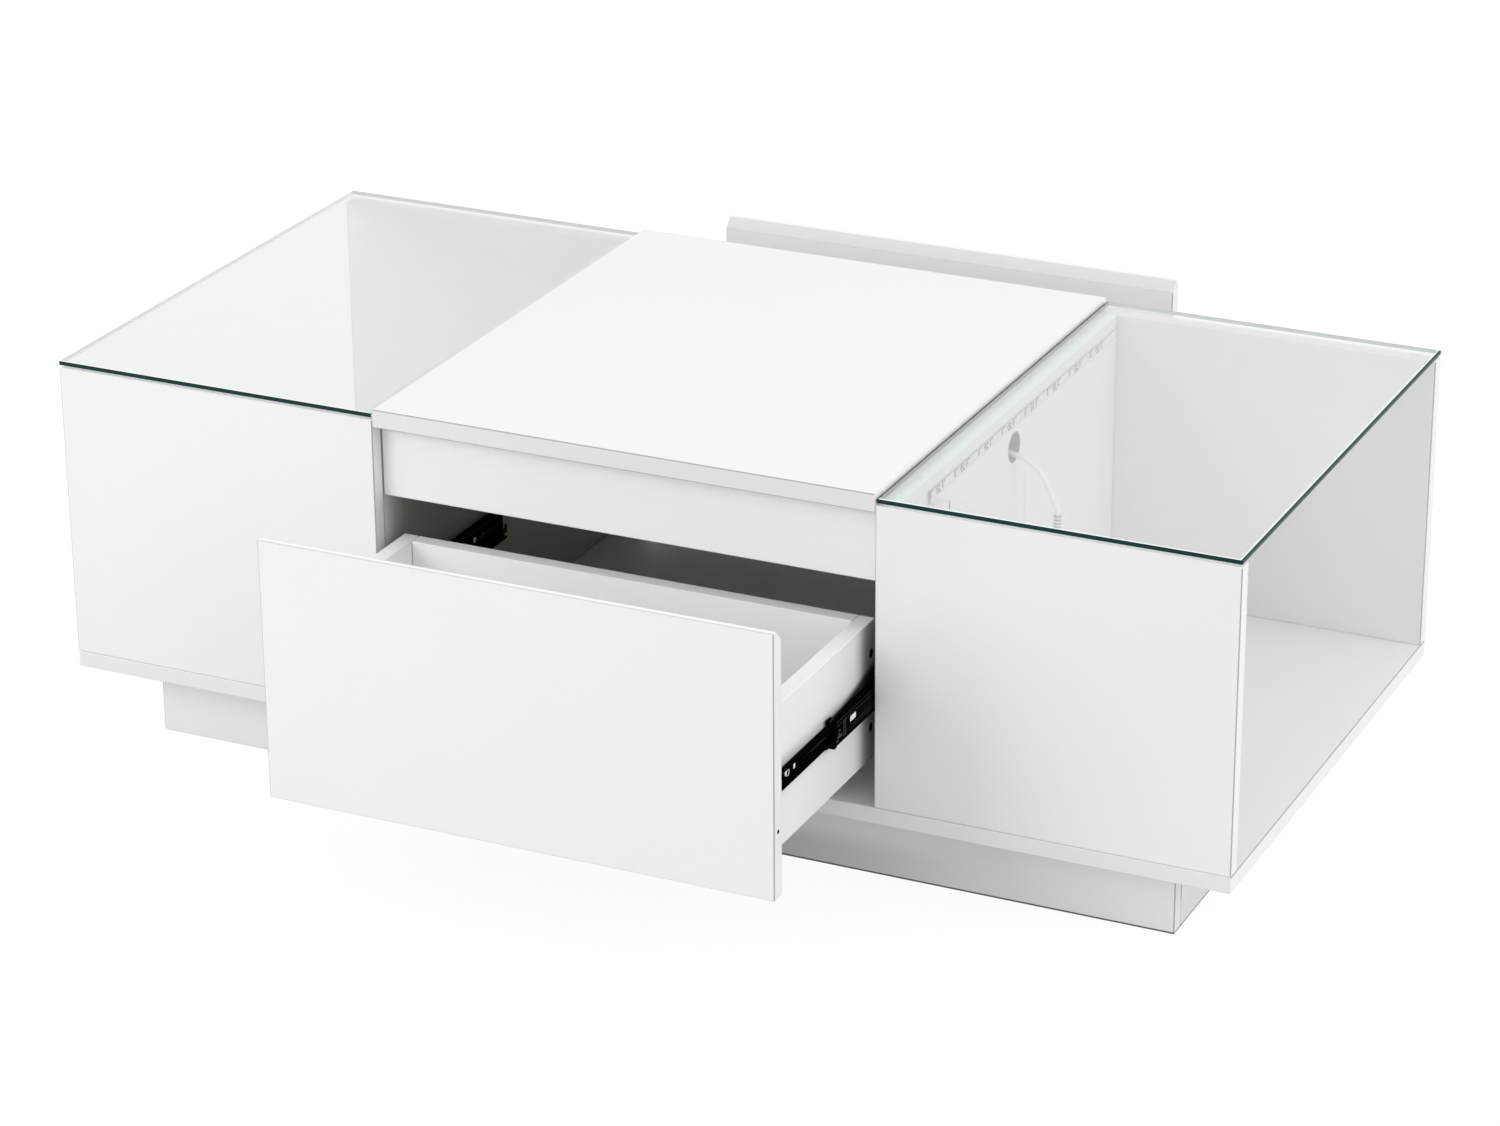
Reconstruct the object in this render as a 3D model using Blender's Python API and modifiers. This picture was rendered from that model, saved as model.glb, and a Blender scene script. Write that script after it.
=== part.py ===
"""Coffee table with a lit glass-topped cubby at each end and a drawer in each long side of its middle bay.

Metres, +Z up. The origin is on the floor under the middle of the table. +X runs along its length, and the
front drawer opens towards -Y. Both drawers stand pulled out, and each slide's members and ball cages stand
where that pull leaves them.
"""
import math

import bmesh
import bpy
from mathutils import Matrix, Vector

MM = 0.001

# Whole table
LENGTH = 1200 * MM
DEPTH = 570 * MM
HEIGHT = 400 * MM
BOARD = 16 * MM
EDGE_EASE = 0.8 * MM
SEAT = 0.3 * MM
OVERRUN = 4 * MM

# Plinth
PLINTH_HEIGHT = 75 * MM
PLINTH_BOARD = 16 * MM
PLINTH_END_RECESS = 66.5 * MM
PLINTH_SIDE_RECESS = 44 * MM

# Cabinet
UPRIGHT_DROP = 10.9 * MM
BAY_WIDTH = 512 * MM
PARTITION = 18 * MM
TOP_THICKNESS = 18 * MM
RAIL_HEIGHT = 73 * MM
RAIL_BOARD = 16 * MM
RAIL_SETBACK = 0.5 * MM
CABLE_HOLE_DIAMETER = 29 * MM
CABLE_HOLE_DROP = 43.5 * MM

# Glass tops and the clear bumpers under them
GLASS_THICKNESS = 4 * MM
GLASS_ARRIS = 0.6 * MM
GLASS_EDGE_GAP = 1 * MM
BUMPER_HEIGHT = 2 * MM
BUMPER_DIAMETER = 10 * MM
BUMPER_EASE = 0.5 * MM
BUMPER_END_INSET = 24 * MM
BUMPER_SIDE_INSET = 60 * MM

# Lighting
STRIP_WIDTH = 10.5 * MM
STRIP_THICKNESS = 2.2 * MM
STRIP_EASE = 0.7 * MM
STRIP_DROP = 11.3 * MM
STRIP_REAR_GAP = 3 * MM
STRIP_FRONT_GAP = 60 * MM
CONTROLLER_WIDTH = 22 * MM
CONTROLLER_DEPTH = 14 * MM
CONTROLLER_HEIGHT = 52 * MM
CONTROLLER_DROP = 2 * MM
CONTROLLER_OVERHANG = 3 * MM
CASE_EASE = 2 * MM
CASE_EASE_STEPS = 3
DRIVER_LENGTH = 60 * MM
DRIVER_HEIGHT = 36 * MM
DRIVER_DEPTH = 24 * MM
DRIVER_HOLE_DISTANCE = 46 * MM
EAR_LENGTH = 9 * MM
EAR_THICKNESS = 3 * MM
EAR_HEIGHT = 16 * MM
EAR_HOLE_DIAMETER = 4 * MM
GLAND_LENGTH = 8 * MM
GLAND_DIAMETER = 9 * MM
GLAND_TIP_DIAMETER = 6.5 * MM
GLAND_ROOT = 2 * MM

# Low-voltage lead that hangs out of the right cable hole. Its route is counted from the middle of that
# hole's mouth in the bay.
LEAD_DIAMETER = 5.5 * MM
LEAD_STEP_DIAMETERS = 2
LEAD_BEVEL_STEPS = 2
ROUTE_SAMPLES = 24
LEAD_ROUTE = [
    (-0.0123, 0.0377, -0.0006), (-0.0123, 0.0290, -0.0006), (-0.0105, 0.0180, -0.0008),
    (-0.0055, 0.0085, -0.0013), (0.0030, 0.0022, -0.0020), (0.0130, 0.0003, -0.0032),
    (0.0230, 0.0000, -0.0054), (0.0340, 0.0000, -0.0106), (0.0450, 0.0000, -0.0216),
    (0.0532, 0.0000, -0.0350), (0.0590, 0.0000, -0.0486), (0.0622, 0.0000, -0.0551),
    (0.0632, 0.0000, -0.0576),
]
LEAD_TAIL = 3 * MM
RELIEF_DIAMETER = 9 * MM
RELIEF_NECK_DIAMETER = 6.4 * MM
RELIEF_RIB_PITCH = 3.4 * MM
RELIEF_RIBS = 4
RIB_EDGE_SHARES = (0.75, 0.25)
SOCKET_DIAMETER = 10.5 * MM
SOCKET_LENGTH = 27 * MM
SOCKET_SHOULDER = 1.5 * MM
SOCKET_BORE_DIAMETER = 5.6 * MM
SOCKET_BORE_DEPTH = 9 * MM

# Drawers
TRAVEL_LEFT = 16.5 * MM
FACE_SIDE_GAP = 1 * MM
FACE_LIFT = 3 * MM
FINGER_GAP = 31.7 * MM
GRIP_BEVEL = 10 * MM
FACE_SCREW_DIAMETER = 3 * MM
FACE_SCREW_DEPTH = 6 * MM
FACE_SCREW_RISE = 65 * MM
BOX_BOARD = 16 * MM
BOX_END_GAP = 40.7 * MM
BOX_CLEARANCE = 42.4 * MM
BOX_LIFT = 37 * MM
SHEET = 4 * MM
SHEET_RISE = 10 * MM
GROOVE_DEPTH = 7 * MM
BOX_SOCKET_DIAMETER = 10 * MM
BOX_SOCKET_DEPTH = 5 * MM
BOX_SOCKET_INSET = 32.25 * MM

# Telescopic ball-bearing slides. Offsets run from the partition's face towards the drawer.
SLIDE_SPACE = 13 * MM
SLIDE_HEIGHT = 35 * MM
SLIDE_SETBACK = 0.5 * MM
SLIDE_END_GAP = 38.5 * MM
MIDDLE_SHORTER = 12 * MM
MIDDLE_SETBACK = 10.5 * MM
DRAWER_MEMBER_SHORTER = 4 * MM
STEEL = 1.2 * MM
BEND_RADIUS = 1.4 * MM
BEND_STEPS = 2
BALL_DIAMETER = 2.8 * MM
BALL_CLEARANCE = 0.25 * MM
OUTER_BALL_OFFSET = 6.5 * MM
INNER_BALL_OFFSET = 8.6 * MM
MIDDLE_WEB_OFFSET = 3.8 * MM
DRAWER_MEMBER_REACH = 6.6 * MM
HOOK_TURN_SHARE = 110 / 360
CAGE_STEEL = 0.6 * MM
CAGE_LENGTH = 90 * MM
CAGE_LIP = 0.9 * MM
OUTER_CAGE_OFFSET = 2.3 * MM
INNER_CAGE_OFFSET = 5.2 * MM
OUTER_CAGE_SETBACK = 69.5 * MM
INNER_CAGE_SETBACK = 73.5 * MM
BALLS_PER_ROW = 5
FLANGE_CUTBACK = 6 * MM
STOP_RISE = 1.2 * MM
STOP_LENGTH = 2 * MM
STOP_WIDTH = 6 * MM
STOP_FRONT_INSET = 1.5 * MM
STOP_REAR_INSET = 18 * MM
WEB_SLOT_LENGTH = 4 * MM
WEB_SLOT_HEIGHT = 5.5 * MM
WEB_SLOT_PITCH = 18 * MM
WEB_SLOT_INSET = 41 * MM
WEB_SLOTS = 3
WINDOW_LENGTH = 14 * MM
WINDOW_HEIGHT = 7 * MM
WINDOW_INSET = 40 * MM
MEMBER_SLOT_LENGTH = 4 * MM
MEMBER_SLOT_HEIGHT = 8 * MM
MEMBER_SLOT_INSET = 48 * MM
MEMBER_HOLE_DIAMETER = 4.4 * MM
MEMBER_HOLE_INSET = 31 * MM

# How far each moving piece travels while its drawer travels 1
MIDDLE_TRAVEL_SHARE = 0.5
OUTER_CAGE_TRAVEL_SHARE = 0.25
INNER_CAGE_TRAVEL_SHARE = 0.75

# Facets
ROUND_SIDES = 16
SMALL_ROUND_SIDES = 12
ARC_STEPS = 4
BALL_SUBDIVISIONS = 1
MERGE_DISTANCE = 0.01 * MM

# Places that follow from the sizes
HALF_LENGTH = LENGTH / 2
FACE_PLANE = DEPTH / 2
INNER_PLANE = FACE_PLANE - BOARD
BASE_LOW = PLINTH_HEIGHT + SEAT
BASE_TOP = BASE_LOW + BOARD
UPRIGHT_LOW = BASE_TOP + SEAT
UPRIGHT_TOP = HEIGHT - UPRIGHT_DROP
BAY_FACE = BAY_WIDTH / 2
CUBBY_FACE = BAY_FACE + PARTITION
TOP_LOW = HEIGHT - TOP_THICKNESS
RAIL_TOP = TOP_LOW - SEAT
RAIL_LOW = RAIL_TOP - RAIL_HEIGHT
HOLE_HEIGHT = UPRIGHT_TOP - CABLE_HOLE_DROP
STRIP_TOP = UPRIGHT_TOP - STRIP_DROP
STRIP_FRONT = STRIP_FRONT_GAP - INNER_PLANE
SLIDE_LENGTH = INNER_PLANE - SLIDE_SETBACK - SLIDE_END_GAP
MIDDLE_LENGTH = SLIDE_LENGTH - MIDDLE_SHORTER
DRAWER_MEMBER_LENGTH = SLIDE_LENGTH - DRAWER_MEMBER_SHORTER
DRAWER_PULL = SLIDE_LENGTH - TRAVEL_LEFT
PULLED_PLANE = FACE_PLANE + DRAWER_PULL
FACE_LOW = BASE_TOP + FACE_LIFT
FACE_TOP = TOP_LOW - FINGER_GAP
FACE_BACK = PULLED_PLANE - BOARD
BOX_START = FACE_BACK - SEAT
BOX_END = DRAWER_PULL + BOX_END_GAP
BOX_OUTER = BAY_FACE - SLIDE_SPACE
BOX_INNER = BOX_OUTER - BOX_BOARD
BOX_LOW = BASE_TOP + BOX_LIFT
BOX_TOP = RAIL_LOW - BOX_CLEARANCE
GROOVE_LOW = BOX_LOW + SHEET_RISE
GROOVE_TOP = GROOVE_LOW + SHEET + 2 * SEAT
SLIDE_AXIS = (BOX_LOW + BOX_TOP) / 2
RACE_RADIUS = BALL_DIAMETER / 2 + BALL_CLEARANCE
OUTER_BALL_HEIGHT = SLIDE_HEIGHT / 2 - STEEL - RACE_RADIUS
MIDDLE_HALF_HEIGHT = OUTER_BALL_HEIGHT - RACE_RADIUS
INNER_BALL_HEIGHT = MIDDLE_HALF_HEIGHT - STEEL - RACE_RADIUS
DRAWER_MEMBER_HALF_HEIGHT = INNER_BALL_HEIGHT - RACE_RADIUS

END_NAMES = {-1: "front", 1: "rear"}
HAND_NAMES = {-1: "left", 1: "right"}

# Base colour, roughness, metallic and alpha
FINISHES = {
    "white_lacquer": ((0.86, 0.86, 0.855), 0.22, 0.0, 1.0),
    "drawer_white": ((0.80, 0.80, 0.79), 0.40, 0.0, 1.0),
    "clear_glass": ((0.80, 0.92, 0.90), 0.03, 0.0, 0.30),
    "clear_silicone": ((0.85, 0.88, 0.88), 0.35, 0.0, 0.50),
    "black_steel": ((0.012, 0.012, 0.013), 0.35, 0.8, 1.0),
    "bright_steel": ((0.55, 0.56, 0.57), 0.25, 1.0, 1.0),
    "white_plastic": ((0.82, 0.83, 0.82), 0.35, 0.0, 1.0),
    "strip_silicone": ((0.84, 0.86, 0.84), 0.30, 0.0, 1.0),
}


def clear_scene():
    for item in list(bpy.data.objects):
        bpy.data.objects.remove(item, do_unlink=True)


def collection(name):
    group = bpy.data.collections.new(name)
    bpy.context.scene.collection.children.link(group)
    return group


def dress(piece, finish):
    """Gives a piece its own material in one of the finishes."""
    colour, roughness, metallic, alpha = FINISHES[finish]
    material = bpy.data.materials.new(piece.name + "_" + finish)
    material.use_nodes = True
    shader = material.node_tree.nodes["Principled BSDF"]
    shader.inputs["Base Color"].default_value = (*colour, 1)
    shader.inputs["Roughness"].default_value = roughness
    shader.inputs["Metallic"].default_value = metallic
    shader.inputs["Alpha"].default_value = alpha
    piece.data.materials.append(material)


def hang_on(piece, carriage):
    """Parents a piece to the empty of the body it moves with, without moving it."""
    if carriage is not None:
        piece.parent = carriage
        piece.matrix_parent_inverse = Matrix.Translation(-carriage.location)


def add_piece(name, mesh, place, finish, carriage=None):
    piece = bpy.data.objects.new(name, mesh)
    piece.location = place
    PARTS.objects.link(piece)
    dress(piece, finish)
    hang_on(piece, carriage)
    return piece


def add_tool(name, mesh, place=(0, 0, 0)):
    """A shape that only cuts or joins others."""
    tool = bpy.data.objects.new(name, mesh)
    tool.location = place
    tool.hide_render = True
    tool.display_type = "WIRE"
    TOOLS.objects.link(tool)
    return tool


def finish_mesh(bm, name):
    bmesh.ops.recalc_face_normals(bm, faces=bm.faces)
    mesh = bpy.data.meshes.new(name)
    bm.to_mesh(mesh)
    bm.free()
    return mesh


def middle(pair):
    return (pair[0] + pair[1]) / 2


def block(size):
    bm = bmesh.new()
    bmesh.ops.create_cube(bm, size=1)
    bmesh.ops.scale(bm, vec=size, verts=bm.verts)
    return bm


def spans(xs, ys, zs):
    """Centre and size of the box between three pairs of planes, given in any order."""
    place = Vector((middle(xs), middle(ys), middle(zs)))
    size = Vector((abs(xs[1] - xs[0]), abs(ys[1] - ys[0]), abs(zs[1] - zs[0])))
    return place, size


def ease_edges(piece, width, steps=1):
    bevel = piece.modifiers.new("eased_edges", "BEVEL")
    bevel.width = width
    bevel.segments = steps


def board(name, xs, ys, zs, finish="white_lacquer", ease=EDGE_EASE, carriage=None):
    place, size = spans(xs, ys, zs)
    piece = add_piece(name, finish_mesh(block(size), name), place, finish, carriage)
    ease_edges(piece, ease)
    return piece


def moulded_case(name, xs, ys, zs):
    place, size = spans(xs, ys, zs)
    piece = add_piece(name, finish_mesh(block(size), name), place, "white_plastic")
    ease_edges(piece, CASE_EASE, CASE_EASE_STEPS)
    return piece


def cut(piece, tool, operation="DIFFERENCE"):
    change = piece.modifiers.new(tool.name, "BOOLEAN")
    change.operation = operation
    change.object = tool


def box_tool(name, xs, ys, zs):
    place, size = spans(xs, ys, zs)
    return add_tool(name, finish_mesh(block(size), name), place)


def round_mesh(name, diameter, depth, sides, end_diameter=None):
    """A cylinder or cone along X, with its end towards +X."""
    bm = bmesh.new()
    far = diameter if end_diameter is None else end_diameter
    turn = Matrix.Rotation(math.pi / 2, 4, "Y")
    bmesh.ops.create_cone(bm, cap_ends=True, segments=sides, radius1=diameter / 2, radius2=far / 2,
                          depth=depth, matrix=turn)
    return finish_mesh(bm, name)


def hole_tool(name, diameter, xs, y, z, sides):
    mesh = round_mesh(name, diameter, abs(xs[1] - xs[0]), sides)
    return add_tool(name, mesh, (middle(xs), y, z))


def build_plinth():
    half = HALF_LENGTH - PLINTH_END_RECESS
    outer = FACE_PLANE - PLINTH_SIDE_RECESS
    inner = outer - PLINTH_BOARD
    for end in END_NAMES:
        board("plinth_" + END_NAMES[end], (-half, half), (end * outer, end * inner), (0, PLINTH_HEIGHT))
    for hand in HAND_NAMES:
        xs = (hand * half, hand * (half - PLINTH_BOARD))
        board("plinth_" + HAND_NAMES[hand], xs, (SEAT - inner, inner - SEAT), (0, PLINTH_HEIGHT))


def build_base():
    board("bottom_panel", (-HALF_LENGTH, HALF_LENGTH), (-FACE_PLANE, FACE_PLANE), (BASE_LOW, BASE_TOP))


def build_uprights():
    """The front and back boards of both cubbies, and the partitions that close the middle bay."""
    zs = (UPRIGHT_LOW, UPRIGHT_TOP)
    for hand in HAND_NAMES:
        for end in END_NAMES:
            name = END_NAMES[end] + "_panel_" + HAND_NAMES[hand]
            board(name, (hand * BAY_FACE, hand * HALF_LENGTH), (end * INNER_PLANE, end * FACE_PLANE), zs)
        xs = (hand * BAY_FACE, hand * CUBBY_FACE)
        partition = board("partition_" + HAND_NAMES[hand], xs, (SEAT - INNER_PLANE, INNER_PLANE - SEAT), zs)
        reach = (hand * (BAY_FACE - OVERRUN), hand * (CUBBY_FACE + OVERRUN))
        tool = hole_tool("cable_hole_" + HAND_NAMES[hand], CABLE_HOLE_DIAMETER, reach, 0, HOLE_HEIGHT,
                         ROUND_SIDES)
        cut(partition, tool)


def build_bay_top():
    half = BAY_FACE - SEAT
    board("centre_top", (-half, half), (-FACE_PLANE, FACE_PLANE), (TOP_LOW, HEIGHT))
    outer = INNER_PLANE - RAIL_SETBACK
    ys = (outer - RAIL_BOARD, outer)
    for end in END_NAMES:
        board(END_NAMES[end] + "_rail", (-half, half), (end * ys[0], end * ys[1]), (RAIL_LOW, RAIL_TOP))


def build_bumpers(hand, low):
    """Four clear discs: two on the partition, one on the front board and one on the back board."""
    over_partition = BAY_FACE + PARTITION / 2
    over_board = FACE_PLANE - BOARD / 2
    places = [(over_partition, end * (INNER_PLANE - BUMPER_SIDE_INSET)) for end in END_NAMES]
    places += [(HALF_LENGTH - BUMPER_END_INSET, end * over_board) for end in END_NAMES]
    for number, (x, y) in enumerate(places, start=1):
        name = "glass_bumper_" + HAND_NAMES[hand] + "_" + str(number)
        bm = bmesh.new()
        bmesh.ops.create_cone(bm, cap_ends=True, segments=SMALL_ROUND_SIDES, radius1=BUMPER_DIAMETER / 2,
                              radius2=BUMPER_DIAMETER / 2, depth=BUMPER_HEIGHT)
        place = (hand * x, y, low + BUMPER_HEIGHT / 2)
        bumper = add_piece(name, finish_mesh(bm, name), place, "clear_silicone")
        bumper.data.shade_smooth()
        ease_edges(bumper, BUMPER_EASE)


def build_glass():
    bumper_low = UPRIGHT_TOP + SEAT
    low = bumper_low + BUMPER_HEIGHT + SEAT
    for hand in HAND_NAMES:
        build_bumpers(hand, bumper_low)
        xs = (hand * (BAY_FACE + GLASS_EDGE_GAP), hand * HALF_LENGTH)
        board("glass_top_" + HAND_NAMES[hand], xs, (-FACE_PLANE, FACE_PLANE), (low, low + GLASS_THICKNESS),
              "clear_glass", GLASS_ARRIS)


def build_strips():
    back = INNER_PLANE - STRIP_REAR_GAP
    for hand in HAND_NAMES:
        xs = (hand * (CUBBY_FACE + SEAT), hand * (CUBBY_FACE + SEAT + STRIP_THICKNESS))
        board("led_strip_" + HAND_NAMES[hand], xs, (STRIP_FRONT, back), (STRIP_TOP - STRIP_WIDTH, STRIP_TOP),
              "strip_silicone", STRIP_EASE)


def build_controller():
    """The small moulded box under the front end of the right strip."""
    front = STRIP_FRONT - CONTROLLER_OVERHANG
    top = STRIP_TOP - STRIP_WIDTH - CONTROLLER_DROP
    moulded_case("led_controller", (CUBBY_FACE + SEAT, CUBBY_FACE + SEAT + CONTROLLER_DEPTH),
                 (front, front + CONTROLLER_WIDTH), (top - CONTROLLER_HEIGHT, top))


def build_driver():
    """The supply case on the bay side of the right partition, with a tapered gland where the lead leaves."""
    near = BAY_FACE - SEAT
    xs = (near - DRIVER_DEPTH, near)
    ys = (DRIVER_HOLE_DISTANCE, DRIVER_HOLE_DISTANCE + DRIVER_LENGTH)
    zs = (HOLE_HEIGHT - DRIVER_HEIGHT / 2, HOLE_HEIGHT + DRIVER_HEIGHT / 2)
    driver = moulded_case("led_driver", xs, ys, zs)
    ear_zs = (HOLE_HEIGHT - EAR_HEIGHT / 2, HOLE_HEIGHT + EAR_HEIGHT / 2)
    ear_ys = (ys[0] + EAR_THICKNESS, ys[1] + EAR_LENGTH)
    ear = box_tool("driver_ear", (near - EAR_THICKNESS, near), ear_ys, ear_zs)
    cut(driver, ear, "UNION")
    reach = (near - EAR_THICKNESS - OVERRUN, near + OVERRUN)
    cut(driver, hole_tool("driver_ear_hole", EAR_HOLE_DIAMETER, reach, ys[1] + EAR_LENGTH / 2, HOLE_HEIGHT,
                          SMALL_ROUND_SIDES))
    gland_mesh = round_mesh("driver_gland", GLAND_DIAMETER, GLAND_LENGTH + GLAND_ROOT, SMALL_ROUND_SIDES,
                            GLAND_TIP_DIAMETER)
    gland_mesh.transform(Matrix.Rotation(-math.pi / 2, 4, "Z"))
    start = lead_points()[0]
    gland_middle = ys[0] - GLAND_LENGTH + (GLAND_LENGTH + GLAND_ROOT) / 2
    cut(driver, add_tool("driver_gland", gland_mesh, (start[0], gland_middle, start[2])), "UNION")


def catmull_rom(points):
    """Dense points on a smooth curve through all the given ones."""
    knots = [Vector(p) for p in points]
    knots = [2 * knots[0] - knots[1]] + knots + [2 * knots[-1] - knots[-2]]
    dense = []
    for before, start, end, after in zip(knots, knots[1:], knots[2:], knots[3:]):
        for step in range(ROUTE_SAMPLES):
            t = step / ROUTE_SAMPLES
            dense.append(0.5 * (2 * start + (end - before) * t
                                + (2 * before - 5 * start + 4 * end - after) * t ** 2
                                + (3 * start - before - 3 * end + after) * t ** 3))
    dense.append(knots[-2])
    return dense


def even_route(points, step):
    """Points on the smooth route, about one step apart."""
    dense = catmull_rom(points)
    lengths = [0]
    for start, end in zip(dense, dense[1:]):
        lengths.append(lengths[-1] + (end - start).length)
    count = round(lengths[-1] / step)
    route = []
    here = 0
    for number in range(count + 1):
        target = lengths[-1] * number / count
        while here < len(dense) - 2 and lengths[here + 1] < target:
            here += 1
        share = (target - lengths[here]) / (lengths[here + 1] - lengths[here])
        route.append(dense[here].lerp(dense[here + 1], share))
    return route


def lead_points():
    """The lead's centreline, from the gland to the connector."""
    mouth = Vector((BAY_FACE, 0, HOLE_HEIGHT))
    points = even_route([mouth + Vector(step) for step in LEAD_ROUTE], LEAD_STEP_DIAMETERS * LEAD_DIAMETER)
    points.append(points[-1] - Vector((0, 0, LEAD_TAIL)))
    return points


def build_lead():
    """The cord as a tube along its route, and the ribbed low-voltage socket on its end."""
    points = lead_points()
    curve = bpy.data.curves.new("led_lead", "CURVE")
    curve.dimensions = "3D"
    curve.bevel_depth = LEAD_DIAMETER / 2
    curve.bevel_resolution = LEAD_BEVEL_STEPS
    curve.use_fill_caps = True
    spline = curve.splines.new("POLY")
    spline.points.add(len(points) - 1)
    for point, place in zip(spline.points, points):
        point.co = (*place, 1)
    add_piece("led_lead", curve, (0, 0, 0), "white_plastic")
    build_lead_socket(points[-1])


def socket_profile():
    """Half section of the strain relief and the socket, top to bottom down the outside, then up the bore."""
    rib = RELIEF_DIAMETER / 2
    neck = RELIEF_NECK_DIAMETER / 2
    body = SOCKET_DIAMETER / 2
    bore = SOCKET_BORE_DIAMETER / 2
    profile = [(0, 0), (neck, 0)]
    for number in range(RELIEF_RIBS):
        low = -RELIEF_RIB_PITCH * (number + 1)
        profile += [(rib, low + RELIEF_RIB_PITCH * share) for share in RIB_EDGE_SHARES]
        profile.append((neck, low))
    shoulder = -RELIEF_RIB_PITCH * RELIEF_RIBS - SOCKET_SHOULDER
    bottom = shoulder - SOCKET_LENGTH
    profile += [(body, shoulder), (body, bottom), (bore, bottom)]
    profile += [(bore, bottom + SOCKET_BORE_DEPTH), (0, bottom + SOCKET_BORE_DEPTH)]
    return profile


def build_lead_socket(end):
    bm = bmesh.new()
    verts = [bm.verts.new((radius, 0, height)) for radius, height in socket_profile()]
    for start, stop in zip(verts, verts[1:]):
        bm.edges.new((start, stop))
    mesh = bpy.data.meshes.new("led_lead_connector")
    bm.to_mesh(mesh)
    bm.free()
    connector = add_piece("led_lead_connector", mesh, end - Vector((0, 0, SEAT)), "white_plastic")
    turn = connector.modifiers.new("turned", "SCREW")
    turn.steps = SMALL_ROUND_SIDES
    turn.render_steps = SMALL_ROUND_SIDES
    turn.use_merge_vertices = True
    turn.merge_threshold = MERGE_DISTANCE


def drawer_face(end, carriage):
    """The front board of a drawer, with the finger bevel along its inner top edge."""
    half = BAY_FACE - FACE_SIDE_GAP
    place, size = spans((-half, half), (end * PULLED_PLANE, end * FACE_BACK), (FACE_LOW, FACE_TOP))
    bm = block(size)
    grip = [edge for edge in bm.edges if all(v.co.z > 0 and v.co.y * end < 0 for v in edge.verts)]
    bmesh.ops.bevel(bm, geom=grip, offset=GRIP_BEVEL, offset_type="OFFSET", segments=1, profile=0.5,
                    affect="EDGES")
    name = END_NAMES[end] + "_drawer_face"
    face = add_piece(name, finish_mesh(bm, name), place, "white_lacquer", carriage)
    ease_edges(face, EDGE_EASE)
    reach = BOX_INNER + GROOVE_DEPTH
    groove = (end * (FACE_BACK - OVERRUN), end * (FACE_BACK + GROOVE_DEPTH))
    cut(face, box_tool(name + "_groove", (-reach, reach), groove, (GROOVE_LOW, GROOVE_TOP)))
    for hand in HAND_NAMES:
        xs = (hand * (half - FACE_SCREW_DEPTH), hand * (half + OVERRUN))
        cut(face, hole_tool(name + "_screw_" + HAND_NAMES[hand], FACE_SCREW_DIAMETER, xs,
                            end * (FACE_BACK + BOARD / 2), FACE_LOW + FACE_SCREW_RISE, SMALL_ROUND_SIDES))


def drawer_side(end, hand, carriage):
    name = END_NAMES[end] + "_drawer_side_" + HAND_NAMES[hand]
    side = board(name, (hand * BOX_INNER, hand * BOX_OUTER), (end * BOX_START, end * BOX_END),
                 (BOX_LOW, BOX_TOP), "drawer_white", EDGE_EASE, carriage)
    groove = (hand * (BOX_INNER - OVERRUN), hand * (BOX_INNER + GROOVE_DEPTH))
    cut(side, box_tool(name + "_groove", groove, (end * (BOX_START + OVERRUN), end * (BOX_END - OVERRUN)),
                       (GROOVE_LOW, GROOVE_TOP)))
    xs = (hand * (BOX_OUTER - BOX_SOCKET_DEPTH), hand * (BOX_OUTER + OVERRUN))
    for z in (BOX_LOW + BOX_SOCKET_INSET, BOX_TOP - BOX_SOCKET_INSET):
        cut(side, hole_tool(name + "_socket", BOX_SOCKET_DIAMETER, xs, end * (BOX_END + BOX_BOARD / 2), z,
                            SMALL_ROUND_SIDES))


def drawer_back(end, carriage):
    name = END_NAMES[end] + "_drawer_back"
    half = BOX_INNER - SEAT
    inner = BOX_END + BOX_BOARD
    back = board(name, (-half, half), (end * BOX_END, end * inner), (BOX_LOW, BOX_TOP),
                 "drawer_white", EDGE_EASE, carriage)
    cut(back, box_tool(name + "_groove", (-half - OVERRUN, half + OVERRUN),
                       (end * (inner - GROOVE_DEPTH), end * (inner + OVERRUN)), (GROOVE_LOW, GROOVE_TOP)))


def drawer_bottom(end, carriage):
    """The thin sheet whose edges sit in the grooves of the face, the sides and the back."""
    tongue = GROOVE_DEPTH - SEAT
    half = BOX_INNER + tongue
    ys = (end * (FACE_BACK + tongue), end * (BOX_END + BOX_BOARD - tongue))
    low = GROOVE_LOW + SEAT
    board(END_NAMES[end] + "_drawer_bottom", (-half, half), ys, (low, low + SHEET), "drawer_white", SEAT,
          carriage)


def arc(centre, radius, start, stop, steps=ARC_STEPS):
    """Points from one angle to another, in turns, about a centre in the slide's cross-section."""
    points = []
    for step in range(steps + 1):
        angle = math.tau * (start + (stop - start) * step / steps)
        points.append((centre[0] + radius * math.cos(angle), centre[1] + radius * math.sin(angle)))
    return points


def mirrored(half):
    """Adds the lower half to the upper half of a section that starts on the slide's axis."""
    return [(offset, -height) for offset, height in reversed(half)] + half


def hooked_section(web, ball):
    """Centreline of a C member whose flanges hook round the outside of two ball rows."""
    reach = RACE_RADIUS + STEEL / 2
    flange = ball[1] + reach
    corner = (web + BEND_RADIUS, flange - BEND_RADIUS)
    half = arc(corner, BEND_RADIUS, 0.5, 0.25, BEND_STEPS) + arc(ball, reach, 0.25, 0.25 - HOOK_TURN_SHARE)
    return mirrored(half)


def plain_section(web, tip, flange, bend):
    """Centreline of a C member with straight flanges from its web to the tip offset."""
    towards = 1 if tip > web else -1
    corner = (web + towards * bend, flange - bend)
    start = 0.5 if towards > 0 else 0
    return mirrored(arc(corner, bend, start, 0.25, BEND_STEPS) + [(tip, flange)])


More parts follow.
